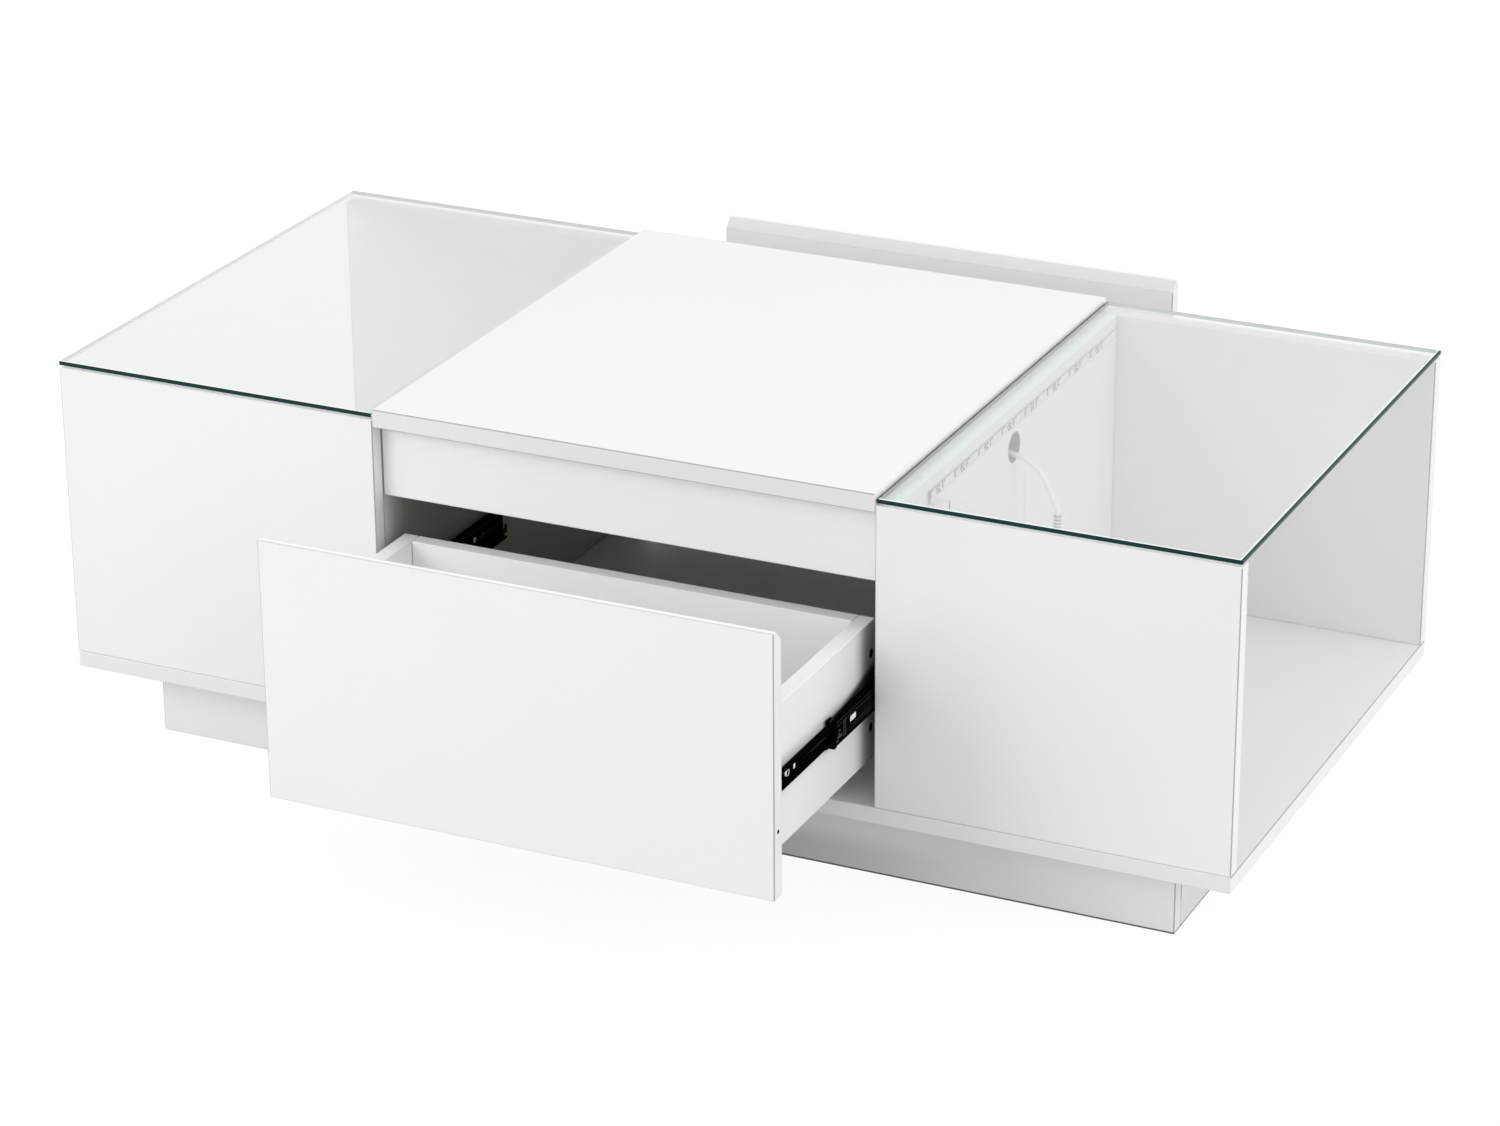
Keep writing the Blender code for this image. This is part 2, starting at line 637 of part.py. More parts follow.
def member_mesh(name, section, end, hand, start, length):
    """Open sheet along the slide, through a section of offsets and heights."""
    bm = bmesh.new()
    verts = [bm.verts.new((hand * (BAY_FACE - offset), end * start, SLIDE_AXIS + height))
             for offset, height in section]
    edges = [bm.edges.new(pair) for pair in zip(verts, verts[1:])]
    grown = bmesh.ops.extrude_edge_only(bm, edges=edges)["geom"]
    moved = [item for item in grown if isinstance(item, bmesh.types.BMVert)]
    bmesh.ops.translate(bm, vec=(0, -end * length, 0), verts=moved)
    return finish_mesh(bm, name)


def add_member(name, section, end, hand, start, length, thickness, finish, carriage):
    mesh = member_mesh(name, section, end, hand, start, length)
    member = add_piece(name, mesh, (0, 0, 0), finish, carriage)
    wall = member.modifiers.new("sheet_thickness", "SOLIDIFY")
    wall.thickness = thickness
    wall.offset = 0
    wall.use_even_offset = True
    return member


def web_slot(member, tag, end, hand, web, centre, length, height):
    xs = (hand * (BAY_FACE - web - STEEL), hand * (BAY_FACE - web + STEEL))
    ys = (end * (centre - length / 2), end * (centre + length / 2))
    cut(member, box_tool(member.name + tag, xs, ys, (SLIDE_AXIS - height / 2, SLIDE_AXIS + height / 2)))


def web_hole(member, tag, end, hand, web, centre):
    xs = (hand * (BAY_FACE - web - STEEL), hand * (BAY_FACE - web + STEEL))
    cut(member, hole_tool(member.name + tag, MEMBER_HOLE_DIAMETER, xs, end * centre, SLIDE_AXIS,
                          SMALL_ROUND_SIDES))


def stop_tabs(member, end, hand, web, start, length):
    """A raised tab near each end of a member's web, which a ball cage stops against."""
    xs = (hand * (BAY_FACE - web), hand * (BAY_FACE - web - STEEL / 2 - STOP_RISE))
    zs = (SLIDE_AXIS - STOP_WIDTH / 2, SLIDE_AXIS + STOP_WIDTH / 2)
    fronts = {"_front_stop": start - STOP_FRONT_INSET, "_rear_stop": start - length + STOP_REAR_INSET}
    for tag, front in fronts.items():
        tab = box_tool(member.name + tag, xs, (end * front, end * (front - STOP_LENGTH)), zs)
        cut(member, tab, "UNION")


def cabinet_member(end, hand, name):
    """The fixed member on the partition: slotted at its inner end, with its flanges cut back there."""
    web = SEAT + STEEL / 2
    start = INNER_PLANE - SLIDE_SETBACK
    section = hooked_section(web, (OUTER_BALL_OFFSET, OUTER_BALL_HEIGHT))
    member = add_member(name + "cabinet_member", section, end, hand, start, SLIDE_LENGTH, STEEL,
                        "black_steel", None)
    inner_end = start - SLIDE_LENGTH
    for number in range(WEB_SLOTS):
        centre = inner_end + WEB_SLOT_INSET + number * WEB_SLOT_PITCH
        web_slot(member, "_slot_" + str(number), end, hand, web, centre, WEB_SLOT_LENGTH, WEB_SLOT_HEIGHT)
    web_hole(member, "_hole", end, hand, web, start - MEMBER_HOLE_INSET)
    xs = (hand * (BAY_FACE - web - STEEL - BEND_RADIUS), hand * (BAY_FACE - SLIDE_SPACE))
    ys = (end * (inner_end - OVERRUN), end * (inner_end + FLANGE_CUTBACK))
    zs = (SLIDE_AXIS - SLIDE_HEIGHT / 2 - OVERRUN, SLIDE_AXIS + SLIDE_HEIGHT / 2 + OVERRUN)
    cut(member, box_tool(member.name + "_cutback", xs, ys, zs))
    stop_tabs(member, end, hand, web, start, SLIDE_LENGTH)


def middle_member(end, hand, name, carriage):
    web = MIDDLE_WEB_OFFSET
    start = INNER_PLANE - MIDDLE_SETBACK + DRAWER_PULL * MIDDLE_TRAVEL_SHARE
    section = hooked_section(web, (INNER_BALL_OFFSET, INNER_BALL_HEIGHT))
    member = add_member(name + "middle_member", section, end, hand, start, MIDDLE_LENGTH, STEEL,
                        "black_steel", carriage)
    centres = {"_front_window": start - WINDOW_INSET, "_rear_window": start - MIDDLE_LENGTH + WINDOW_INSET}
    for tag, centre in centres.items():
        web_slot(member, tag, end, hand, web, centre, WINDOW_LENGTH, WINDOW_HEIGHT)
    stop_tabs(member, end, hand, web, start, MIDDLE_LENGTH)


def drawer_member(end, hand, name, carriage):
    web = SLIDE_SPACE - SEAT - STEEL / 2
    start = FACE_BACK - SLIDE_SETBACK
    section = plain_section(web, web + STEEL / 2 - DRAWER_MEMBER_REACH, DRAWER_MEMBER_HALF_HEIGHT - STEEL / 2,
                            BEND_RADIUS)
    member = add_member(name + "drawer_member", section, end, hand, start, DRAWER_MEMBER_LENGTH, STEEL,
                        "black_steel", carriage)
    web_hole(member, "_front_hole", end, hand, web, start - MEMBER_HOLE_INSET)
    web_hole(member, "_rear_hole", end, hand, web, start - DRAWER_MEMBER_LENGTH + MEMBER_HOLE_INSET)
    web_slot(member, "_slot", end, hand, web, start - MEMBER_SLOT_INSET, MEMBER_SLOT_LENGTH,
             MEMBER_SLOT_HEIGHT)


def ball_rows(name, end, hand, start, ball):
    """Two rows of balls, evenly spread along a cage."""
    bm = bmesh.new()
    pitch = CAGE_LENGTH / BALLS_PER_ROW
    for number in range(BALLS_PER_ROW):
        for level in (-1, 1):
            place = (hand * (BAY_FACE - ball[0]), end * (start - pitch * (number + 0.5)),
                     SLIDE_AXIS + level * ball[1])
            bmesh.ops.create_icosphere(bm, subdivisions=BALL_SUBDIVISIONS, radius=BALL_DIAMETER / 2,
                                       matrix=Matrix.Translation(place))
    return add_tool(name, finish_mesh(bm, name))


def ball_cage(end, hand, name, web, ball, setback, share, carriage):
    """A folded strip between two members, with the balls that run in their races held in its flanges."""
    start = INNER_PLANE - setback + DRAWER_PULL * share
    section = plain_section(web, ball[0] + CAGE_LIP, ball[1], CAGE_STEEL)
    cage = add_member(name, section, end, hand, start, CAGE_LENGTH, CAGE_STEEL, "bright_steel", carriage)
    cut(cage, ball_rows(name + "_rows", end, hand, start, ball), "UNION")


def build_slide(end, hand, carriages):
    name = END_NAMES[end] + "_" + HAND_NAMES[hand] + "_slide_"
    cabinet_member(end, hand, name)
    middle_member(end, hand, name, carriages["slide_middles"])
    drawer_member(end, hand, name, carriages["drawer"])
    ball_cage(end, hand, name + "outer_balls", OUTER_CAGE_OFFSET, (OUTER_BALL_OFFSET, OUTER_BALL_HEIGHT),
              OUTER_CAGE_SETBACK, OUTER_CAGE_TRAVEL_SHARE, carriages["outer_balls"])
    ball_cage(end, hand, name + "inner_balls", INNER_CAGE_OFFSET, (INNER_BALL_OFFSET, INNER_BALL_HEIGHT),
              INNER_CAGE_SETBACK, INNER_CAGE_TRAVEL_SHARE, carriages["inner_balls"])


def build_carriages(end):
    """Empties on the slides' axis, one for each set of pieces that moves together."""
    carriages = {}
    for name in ("drawer", "slide_middles", "outer_balls", "inner_balls"):
        carriage = bpy.data.objects.new(END_NAMES[end] + "_" + name, None)
        carriage.location = (0, end * INNER_PLANE, SLIDE_AXIS)
        PARTS.objects.link(carriage)
        carriages[name] = carriage
    return carriages


def build_drawer(end):
    carriages = build_carriages(end)
    drawer = carriages["drawer"]
    drawer_face(end, drawer)
    drawer_back(end, drawer)
    drawer_bottom(end, drawer)
    for hand in HAND_NAMES:
        drawer_side(end, hand, drawer)
        build_slide(end, hand, carriages)


clear_scene()
PARTS = collection("led_coffee_table")
TOOLS = collection("cutters")
build_plinth()
build_base()
build_uprights()
build_bay_top()
build_glass()
build_strips()
build_controller()
build_driver()
build_lead()
for side in END_NAMES:
    build_drawer(side)
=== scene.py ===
import math

import bpy
from mathutils import Matrix, Vector


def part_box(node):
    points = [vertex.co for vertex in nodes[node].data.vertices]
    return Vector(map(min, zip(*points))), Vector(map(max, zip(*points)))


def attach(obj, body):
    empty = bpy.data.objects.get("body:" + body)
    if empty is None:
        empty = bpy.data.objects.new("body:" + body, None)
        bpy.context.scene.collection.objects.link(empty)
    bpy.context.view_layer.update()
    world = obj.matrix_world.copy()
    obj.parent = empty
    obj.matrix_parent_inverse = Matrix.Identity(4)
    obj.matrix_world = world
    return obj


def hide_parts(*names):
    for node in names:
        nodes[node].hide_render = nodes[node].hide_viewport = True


# Looks of the lit coffee table: two glass-topped cubbies, a drawer in each long side, and the light
# strip, lead and ball-bearing slides that show between them. Metres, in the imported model's own frame.

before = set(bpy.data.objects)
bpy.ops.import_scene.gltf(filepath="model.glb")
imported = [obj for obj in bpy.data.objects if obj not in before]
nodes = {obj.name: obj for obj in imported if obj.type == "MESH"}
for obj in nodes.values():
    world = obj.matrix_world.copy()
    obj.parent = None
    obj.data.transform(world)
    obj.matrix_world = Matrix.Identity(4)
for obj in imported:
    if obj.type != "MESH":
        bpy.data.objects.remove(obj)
bpy.ops.object.select_all(action="DESELECT")
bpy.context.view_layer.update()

# On which side of the table each drawer and each hand lies, along Y and X, and the four corners they make.
ENDS = {"front": -1, "rear": 1}
HANDS = {"left": -1, "right": 1}
CORNERS = [(*end, *hand) for end in ENDS.items() for hand in HANDS.items()]


def middle_of(node, axis):
    low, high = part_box(node)
    return (low[axis] + high[axis]) / 2


def side_of(node, axis, sign):
    """Where a node ends along an axis: on its high side for a sign above zero, else on its low side."""
    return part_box(node)[1 if sign > 0 else 0][axis]


def added(name, data):
    thing = bpy.data.objects.new(name, data)
    bpy.context.scene.collection.objects.link(thing)
    return thing


SLIDE_LEVEL = middle_of("front_right_slide_drawer_member", 2)


# ---------------------------------------------------------------- camera

# Found from the photograph's corners: where the camera looks, its roll in degrees, its lens and film in
# millimetres, and where it stands.
CAMERA_WAY = (-0.39287, 0.83289, -0.38980)
CAMERA_ROLL = 0.39
CAMERA_LENS = 109.6836
FILM_WIDTH = 36
CAMERA_PLACE = (1.75678, -3.72811, 1.92400)


def stand_camera():
    """Looks down on the right front corner, level but for its slight roll."""
    forward = Vector(CAMERA_WAY).normalized()
    level = forward.cross(Vector((0, 0, 1))).normalized()
    below = forward.cross(level)
    roll = math.radians(CAMERA_ROLL)
    right = level * math.cos(roll) + below * math.sin(roll)
    down = forward.cross(right)
    data = bpy.data.cameras.new("camera")
    data.lens = CAMERA_LENS
    data.sensor_width = FILM_WIDTH
    data.sensor_fit = "HORIZONTAL"
    camera = added("camera", data)
    camera.matrix_world = Matrix([
        (right[i], -down[i], -forward[i], CAMERA_PLACE[i]) for i in range(3)] + [(0, 0, 0, 1)])
    bpy.context.scene.camera = camera


stand_camera()


# ---------------------------------------------------------------- modelling by hand

# Degrees between two faces above which their edge stays sharp, on slabs, round pieces and rolled steel.
SHARP_SLAB, SHARP_ROUND, SHARP_ROLLED = 35, 32, 38
ALONG_X = (1, 0, 0)


def alone(piece):
    """Selects this piece and nothing else."""
    bpy.ops.object.select_all(action="DESELECT")
    piece.select_set(True)
    bpy.context.view_layer.objects.active = piece


def named(name):
    piece = bpy.context.object
    piece.name = name
    piece.data.name = name
    return piece


def open_up(piece, kind="FACE"):
    """Edit mode on this piece alone, with all of it selected."""
    alone(piece)
    bpy.ops.object.mode_set(mode="EDIT")
    bpy.context.tool_settings.mesh_select_mode = tuple(kind == mode for mode in ("VERT", "EDGE", "FACE"))
    bpy.ops.mesh.select_all(action="SELECT")


def close_up():
    bpy.ops.object.mode_set(mode="OBJECT")


def settle(piece):
    """Puts a finished piece's place into its mesh."""
    alone(piece)
    bpy.ops.object.transform_apply(location=True, rotation=True, scale=True)
    piece.select_set(False)


def smooth(piece, angle):
    alone(piece)
    bpy.ops.object.shade_smooth_by_angle(angle=math.radians(angle))
    piece.select_set(False)


def slab(name, low, high, ease, steps=2):
    """A box between two corners with its edges rounded over."""
    low, high = Vector(low), Vector(high)
    bpy.ops.mesh.primitive_cube_add(size=1, location=(low + high) / 2, scale=high - low)
    piece = named(name)
    settle(piece)
    open_up(piece)
    bpy.ops.mesh.bevel(offset=ease, segments=steps, affect="EDGES")
    close_up()
    smooth(piece, SHARP_SLAB)
    return piece


def turned(name, place, rings, sides, way=(0, 0, 1)):
    """A round piece drawn out ring by ring from a disc. Rings are (height, radius), from the foot up."""
    height, radius = rings[0]
    bpy.ops.mesh.primitive_circle_add(vertices=sides, radius=radius, fill_type="NGON",
                                      location=(0, 0, height))
    piece = named(name)
    settle(piece)
    open_up(piece)
    for next_height, next_radius in rings[1:]:
        bpy.ops.mesh.extrude_region_move(TRANSFORM_OT_translate={"value": (0, 0, next_height - height)})
        share = next_radius / radius
        bpy.ops.transform.resize(value=(share, share, 1), center_override=(0, 0, next_height))
        height, radius = next_height, next_radius
    bpy.ops.mesh.select_all(action="SELECT")
    bpy.ops.mesh.normals_make_consistent(inside=False)
    close_up()
    piece.rotation_mode = "QUATERNION"
    piece.rotation_quaternion = Vector((0, 0, 1)).rotation_difference(Vector(way))
    piece.location = place
    settle(piece)
    smooth(piece, SHARP_ROUND)
    return piece


def cut_away(piece, *tools):
    """Cuts the tools' shapes out of the piece and throws the tools away."""
    alone(piece)
    for tool in tools:
        cut = piece.modifiers.new("cut", "BOOLEAN")
        cut.object = tool
        cut.solver = "EXACT"
        bpy.ops.object.modifier_apply(modifier=cut.name)
    throw_away(*tools)
    smooth(piece, SHARP_ROUND)


def throw_away(*pieces):
    for piece in pieces:
        bpy.data.objects.remove(piece)


def joined(name, pieces):
    alone(pieces[0])
    for piece in pieces:
        piece.select_set(True)
    bpy.ops.object.join()
    piece = named(name)
    piece.select_set(False)
    return piece


def copied(piece, name, shift=(0, 0, 0), flip=(1, 1, 1)):
    """A copy with its own mesh, mirrored across the planes through the origin and then shifted."""
    twin = added(name, piece.data.copy())
    twin.data.transform(Matrix.Diagonal((*flip, 1)))
    twin.data.transform(Matrix.Translation(shift))
    if flip[0] * flip[1] * flip[2] < 0:
        twin.data.flip_normals()
    return twin


def refined(node, name):
    """A merged, smooth copy of a CAD node that stands for it."""
    piece = added(name, nodes[node].data.copy())
    open_up(piece, "VERT")
    bpy.ops.mesh.remove_doubles(threshold=0.00001)
    bpy.ops.mesh.tris_convert_to_quads()
    close_up()
    bpy.ops.mesh.customdata_custom_splitnormals_clear()
    smooth(piece, SHARP_ROLLED)
    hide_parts(node)
    return piece


def fit(piece, body, finish):
    """Hangs a finished piece on its body in its own finish."""
    piece.data.materials.clear()
    piece.data.materials.append(finish)
    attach(piece, body)


# ---------------------------------------------------------------- finishes

class Amount:
    """A number, colour or vector that changes over a surface. Sums on it add Math nodes."""

    def __init__(self, graph, socket):
        self.graph = graph
        self.socket = socket

    def worked(self, operation, first, second=0.0):
        return self.graph.node("Math", {0: first, 1: second}, operation=operation)

    def also(self, output):
        """Another output of the same node."""
        return Amount(self.graph, self.socket.node.outputs[output])

    def fraction(self):
        return self.worked("FRACT", self)

    def least(self, other):
        return self.worked("MINIMUM", self, other)

    def most(self, other):
        return self.worked("MAXIMUM", self, other)

    def __add__(self, other):
        return self.worked("ADD", self, other)

    def __radd__(self, other):
        return self.worked("ADD", other, self)

    def __sub__(self, other):
        return self.worked("SUBTRACT", self, other)

    def __rsub__(self, other):
        return self.worked("SUBTRACT", other, self)

    def __mul__(self, other):
        return self.worked("MULTIPLY", self, other)

    def __abs__(self):
        return self.worked("ABSOLUTE", self)


# The colours of a Mix node by number, because they share their names with its other inputs and results.
MIX_FIRST, MIX_SECOND, MIX_RESULT = 6, 7, 2


class Graph:
    """The nodes of a material or a room, made one by one."""

    def __init__(self, owner):
        owner.use_nodes = True
        self.tree = owner.node_tree
        self.tree.nodes.clear()

    def node(self, kind, sockets=None, out=0, **settings):
        made = self.tree.nodes.new("ShaderNode" + kind)
        for setting, value in settings.items():
            setattr(made, setting, value)
        for socket, value in (sockets or {}).items():
            if isinstance(value, Amount):
                self.tree.links.new(value.socket, made.inputs[socket])
            else:
                made.inputs[socket].default_value = value
        return Amount(self, made.outputs[out]) if made.outputs else made

    def looked_at(self):
        """1 for what the camera sees straight on, in gloss or through glass."""
        path = self.node("LightPath", out="Is Camera Ray")
        return path.most(path.also("Is Glossy Ray")).most(path.also("Is Transmission Ray"))


class Finish(Graph):
    """A node material made from one part's object coordinates."""

    def __init__(self, name):
        self.material = bpy.data.materials.new(name)
        super().__init__(self.material)
        self.place = self.node("TexCoord", out="Object")
        self.x = self.node("SeparateXYZ", {0: self.place})
        self.y, self.z = self.x.also(1), self.x.also(2)
        self.axes = (self.x, self.y, self.z)

    def grain(self, size, detail, stretch=(1, 1, 1), start=0.0):
        """Soft lumps about this many metres across, from 0 to 1."""
        spot = self.node("Mapping", {"Vector": self.place, "Location": (start, start, start),
                                     "Scale": [share / size for share in stretch]})
        return self.node("TexNoise", {"Vector": spot, "Scale": 1.0, "Detail": detail})

    def rise(self, value, low, high):
        """0 below low, 1 above high, smooth between."""
        return self.node("MapRange", {"Value": value, "From Min": low, "From Max": high},
                         interpolation_type="SMOOTHSTEP")

    def fall(self, value, low, high):
        """1 below low, 0 above high, smooth between."""
        return 1 - self.rise(value, low, high)

    def tint(self, share, first, second):
        first = first if isinstance(first, Amount) else (*first, 1)
        second = second if isinstance(second, Amount) else (*second, 1)
        return self.node("Mix", {0: share, MIX_FIRST: first, MIX_SECOND: second}, out=MIX_RESULT,
                         data_type="RGBA")

    def relief(self, height, depth):
        return self.node("Bump", {"Height": height, "Distance": depth})

    def surface(self, colour, roughness, normal=None, **others):
        sockets = {"Base Color": colour if isinstance(colour, Amount) else (*colour, 1),
                   "Roughness": roughness}
        if normal is not None:
            sockets["Normal"] = normal
        sockets.update({name.replace("_", " "): value for name, value in others.items()})
        return self.node("BsdfPrincipled", sockets)

    def shown(self, shader):
        self.node("OutputMaterial", {"Surface": shader})
        return self.material

    def skin(self, colour, roughness, height, depth, **others):
        """The whole material as one surface with this relief."""
        return self.shown(self.surface(colour, roughness, self.relief(height, depth), **others))


class BoardFinish(Finish):
    """The finish of one board. It knows how far a spot is from the board's two ends, from its two long
    edges, from the nearer of them and from its two faces. Tones are laid over its colour one by one."""

    def __init__(self, kind, board):
        super().__init__(f"{kind}_{board}")
        self.low, self.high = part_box(board)
        size = self.high - self.low
        order = sorted(range(3), key=lambda i: -size[i])
        self.ends, self.edges, self.faces = [
            size[i] / 2 - abs(self.axes[i] - (self.low[i] + self.high[i]) / 2) for i in order]
        self.edge = self.ends.least(self.edges)
        self.colour = None

    def ground(self, size, first, second, start):
        """The first colour, in clouds of two near tones."""
        cloud = self.grain(size, 3.0, start=start)
        self.colour = self.tint(cloud, first, second)
        return cloud

    def lay(self, share, tone):
        self.colour = self.tint(share, self.colour, tone)

    def joint_line(self, depth):
        """The hairline where the edge band meets the face."""
        return self.fall(abs(self.edge - depth), 0.0001, 0.0004)


# Depths over which a tone fades out that lies on one face alone, and one that lies on a thin edge alone.
FACE_SKIN = (0.0002, 0.0006)
EDGE_SKIN = (0.0003, 0.0006)

# Which side of each of these boards faces the closed middle bay: its axis and whether it is the high side.
BAY_FACES = {"partition_left": (0, True), "partition_right": (0, False), "centre_top": (2, False),
             "front_rail": (1, True), "rear_rail": (1, False)}
# How far from the middle of the bay its painted shade begins to fade, and where it is gone.
BAY_SHADE_FADE = (0.213, 0.300)


def painted_bay_shade(finish, board):
    """1 on the face towards the bay, which gets painted shade deep inside and stays white near the openings.
    """
    axis, is_high = BAY_FACES[board]
    spot = finish.axes[axis]
    across = finish.high[axis] - spot if is_high else spot - finish.low[axis]
    return finish.fall(across, *FACE_SKIN) * finish.fall(abs(finish.y), *BAY_SHADE_FADE)


# The cable hole's middle along Y and its level, its radius, and the same two of the lead's painted shadow.
CABLE_HOLE = (0.0, 0.3456)
CABLE_HOLE_RADIUS = 0.0145
LEAD_SHADOW = (0.0295, 0.262)


def from_cable_hole(finish):
    """Square of the distance from the middle of the cable hole through a partition."""
    along = finish.y - CABLE_HOLE[0]
    up = finish.z - CABLE_HOLE[1]
    return along * along + up * up


def darkened_hole(finish):
    """A dark ring round the cable hole, and near-black painted shade inside it."""
    square = from_cable_hole(finish)
    dark_ring, bore = (finish.fall(square, (CABLE_HOLE_RADIUS + full) ** 2, (CABLE_HOLE_RADIUS + gone) ** 2)
                   for full, gone in ((0.0005, 0.0009), (0.0001, 0.0003)))
    finish.lay(dark_ring * 0.9, (0.05, 0.05, 0.05))
    # Painted shade in the hole's bore.
    finish.lay(bore, (0.02, 0.02, 0.02))


def lead_rub(finish):
    """Faint grey painted shadow of the hanging lead on the board, below the cable hole."""
    beside = finish.fall(abs(finish.y - LEAD_SHADOW[0]), 0.0016, 0.0040)
    return beside * finish.fall(abs(finish.z - LEAD_SHADOW[1]), 0.040, 0.060)


def mark_partition(finish, board):
    """Painted light on the top under the glass, pale green, the lead's painted shadow on the right one, and
    the cable hole with its painted shade.
    """
    # Painted light: the top face under the glass is paler and greener.
    finish.lay(finish.fall(finish.high.z - finish.z, *FACE_SKIN) * 0.9, (0.93, 0.985, 0.965))
    if board == "partition_right":
        # Painted shadow of the lead.
        finish.lay(lead_rub(finish) * 0.30, (0.50, 0.50, 0.50))
    darkened_hole(finish)


# How far in from an arris, by both of its faces together, its painted shade line begins to fade, and where it
# is gone.
END_ARRIS_SHADE = (0.00084, 0.00105)
TOP_ARRIS_SHADE = (0.00084, 0.00110)
# The foot of the finger bevel: its distances from the face's long edge and from its inner side together.
BEVEL_FOOT = 0.010


def shade_top_arris(finish, share):
    """Grey painted shade line along the upper long edges of the middle top or of a drawer's face."""
    arris = finish.fall(finish.edges + finish.faces, *TOP_ARRIS_SHADE)
    arris = arris * finish.rise(finish.z, finish.low.z, finish.high.z)
    finish.lay(arris * share, (0.34, 0.34, 0.33))


def shade_grip(finish):
    """Painted shade line along the foot of the finger bevel, behind a drawer's face, and one as far up from
    its low edge.
    """
    low, high = finish.low, finish.high
    from_inside = finish.y - low.y if low.y > 0 else high.y - finish.y
    grip_shade = finish.fall(abs(finish.edges + from_inside - BEVEL_FOOT), 0.0006, 0.0012)
    finish.lay(grip_shade * 0.7, (0.66, 0.66, 0.655))


def shade_middle_top(finish):
    """Painted shade makes it greyer than the other boards, most of all on its ends, and painted light
    brightens its long sides.
    """
    lip = finish.fall(finish.ends, *EDGE_SKIN)
    finish.lay(0.4 + lip * 0.4, (0.77, 0.77, 0.765))
    # Painted light on the long sides beside the glass.
    finish.lay(finish.fall(finish.edges, *EDGE_SKIN), (0.97, 0.97, 0.965))


def light_and_shade_bottom(finish):
    """Painted shade greys the floors in the cubbies, painted light brightens the one in the bay, and the long
    edges under the cubbies are greyer.
    """
    shelf = finish.fall(finish.high.z - finish.z, *FACE_SKIN) * finish.rise(finish.edge, 0.001, 0.003)
    in_cubby = finish.rise(abs(finish.x), 0.26, 0.27)
    # Painted shade on the cubby floors; painted light on the bay floor below.
    finish.lay(shelf * in_cubby * 0.8, (0.82, 0.82, 0.81))
    finish.lay(shelf * (1 - in_cubby), (0.99, 0.99, 0.985))
    wings = finish.rise(abs(finish.x), 0.30, 0.50) * finish.fall(finish.edges, *EDGE_SKIN)
    finish.lay(wings * 0.8, (0.81, 0.81, 0.80))


def shade_far_wall(finish):
    """Painted shade on the right cubby's far wall, greyer towards the partition."""
    inner = finish.fall(finish.y - finish.low.y, *FACE_SKIN)
    shade_towards_partition = finish.fall(finish.x, 0.30, 0.56)
    finish.lay(inner * (0.15 + shade_towards_partition * 0.45), (0.80, 0.775, 0.78))


def mark_foot(finish):
    """Painted contact shadow: a dark line where the right half of the plinth stands on the floor."""
    foot = finish.fall(finish.z, 0.0018, 0.0026) * finish.rise(finish.x, 0.0, 0.1)
    finish.lay(foot * 0.95, (0.02, 0.02, 0.02))


def tone_plinth_front(finish):
    """Shade low on the board, to the right of its middle."""
    shade = finish.fall(finish.z, 0.018, 0.042) * finish.fall(finish.x, 0.15, 0.38)
    finish.lay(shade * finish.rise(finish.x, -0.10, 0.10), (0.64, 0.635, 0.625))
    mark_foot(finish)


def tone_plinth_right(finish):
    """Shade low on the board."""
    finish.lay(finish.fall(finish.z, 0.014, 0.038), (0.79, 0.79, 0.79))
    mark_foot(finish)


OWN_TONES = {"bottom_panel": light_and_shade_bottom, "rear_panel_right": shade_far_wall,
             "plinth_front": tone_plinth_front, "plinth_right": tone_plinth_right}


def lacquered(board, start):
    """White lacquer on board: faint orange peel, the thin joint line of the edge band, and what the
    photograph shows on this board alone."""
    finish = BoardFinish("lacquer", board)
    line = finish.joint_line(0.0010)
    cloud = finish.ground(0.12, (0.898, 0.898, 0.894), (0.880, 0.880, 0.874), start)
    fleck = finish.grain(0.004, 1.0, start=start)
    peel = finish.grain(0.0022, 2.0, start=start)
    finish.lay(fleck * 0.12, (0.82, 0.82, 0.81))
    if board == "centre_top":
        shade_middle_top(finish)
    finish.lay(line * 0.12, (0.42, 0.42, 0.40))
    # Painted shade: a dark line along the arrises round the board's ends.
    finish.lay(finish.fall(finish.ends + finish.faces, *END_ARRIS_SHADE) * 0.62, (0.14, 0.14, 0.135))
    if board == "centre_top":
        shade_top_arris(finish, 0.18)
    if board.endswith("face"):
        shade_top_arris(finish, 0.40)
        shade_grip(finish)
    if board in BAY_FACES:
        # Painted shade on the faces towards the closed bay, darkest deep inside.
        finish.lay(painted_bay_shade(finish, board), (0.41, 0.405, 0.36))
    if board.startswith("partition"):
        mark_partition(finish, board)
    if board in OWN_TONES:
        OWN_TONES[board](finish)
    return finish.skin(finish.colour, 0.30 + cloud * 0.08 + line * 0.2, peel * 0.5 - line * 0.6, 0.00006,
                       Coat_Weight=0.25, Coat_Roughness=0.12)


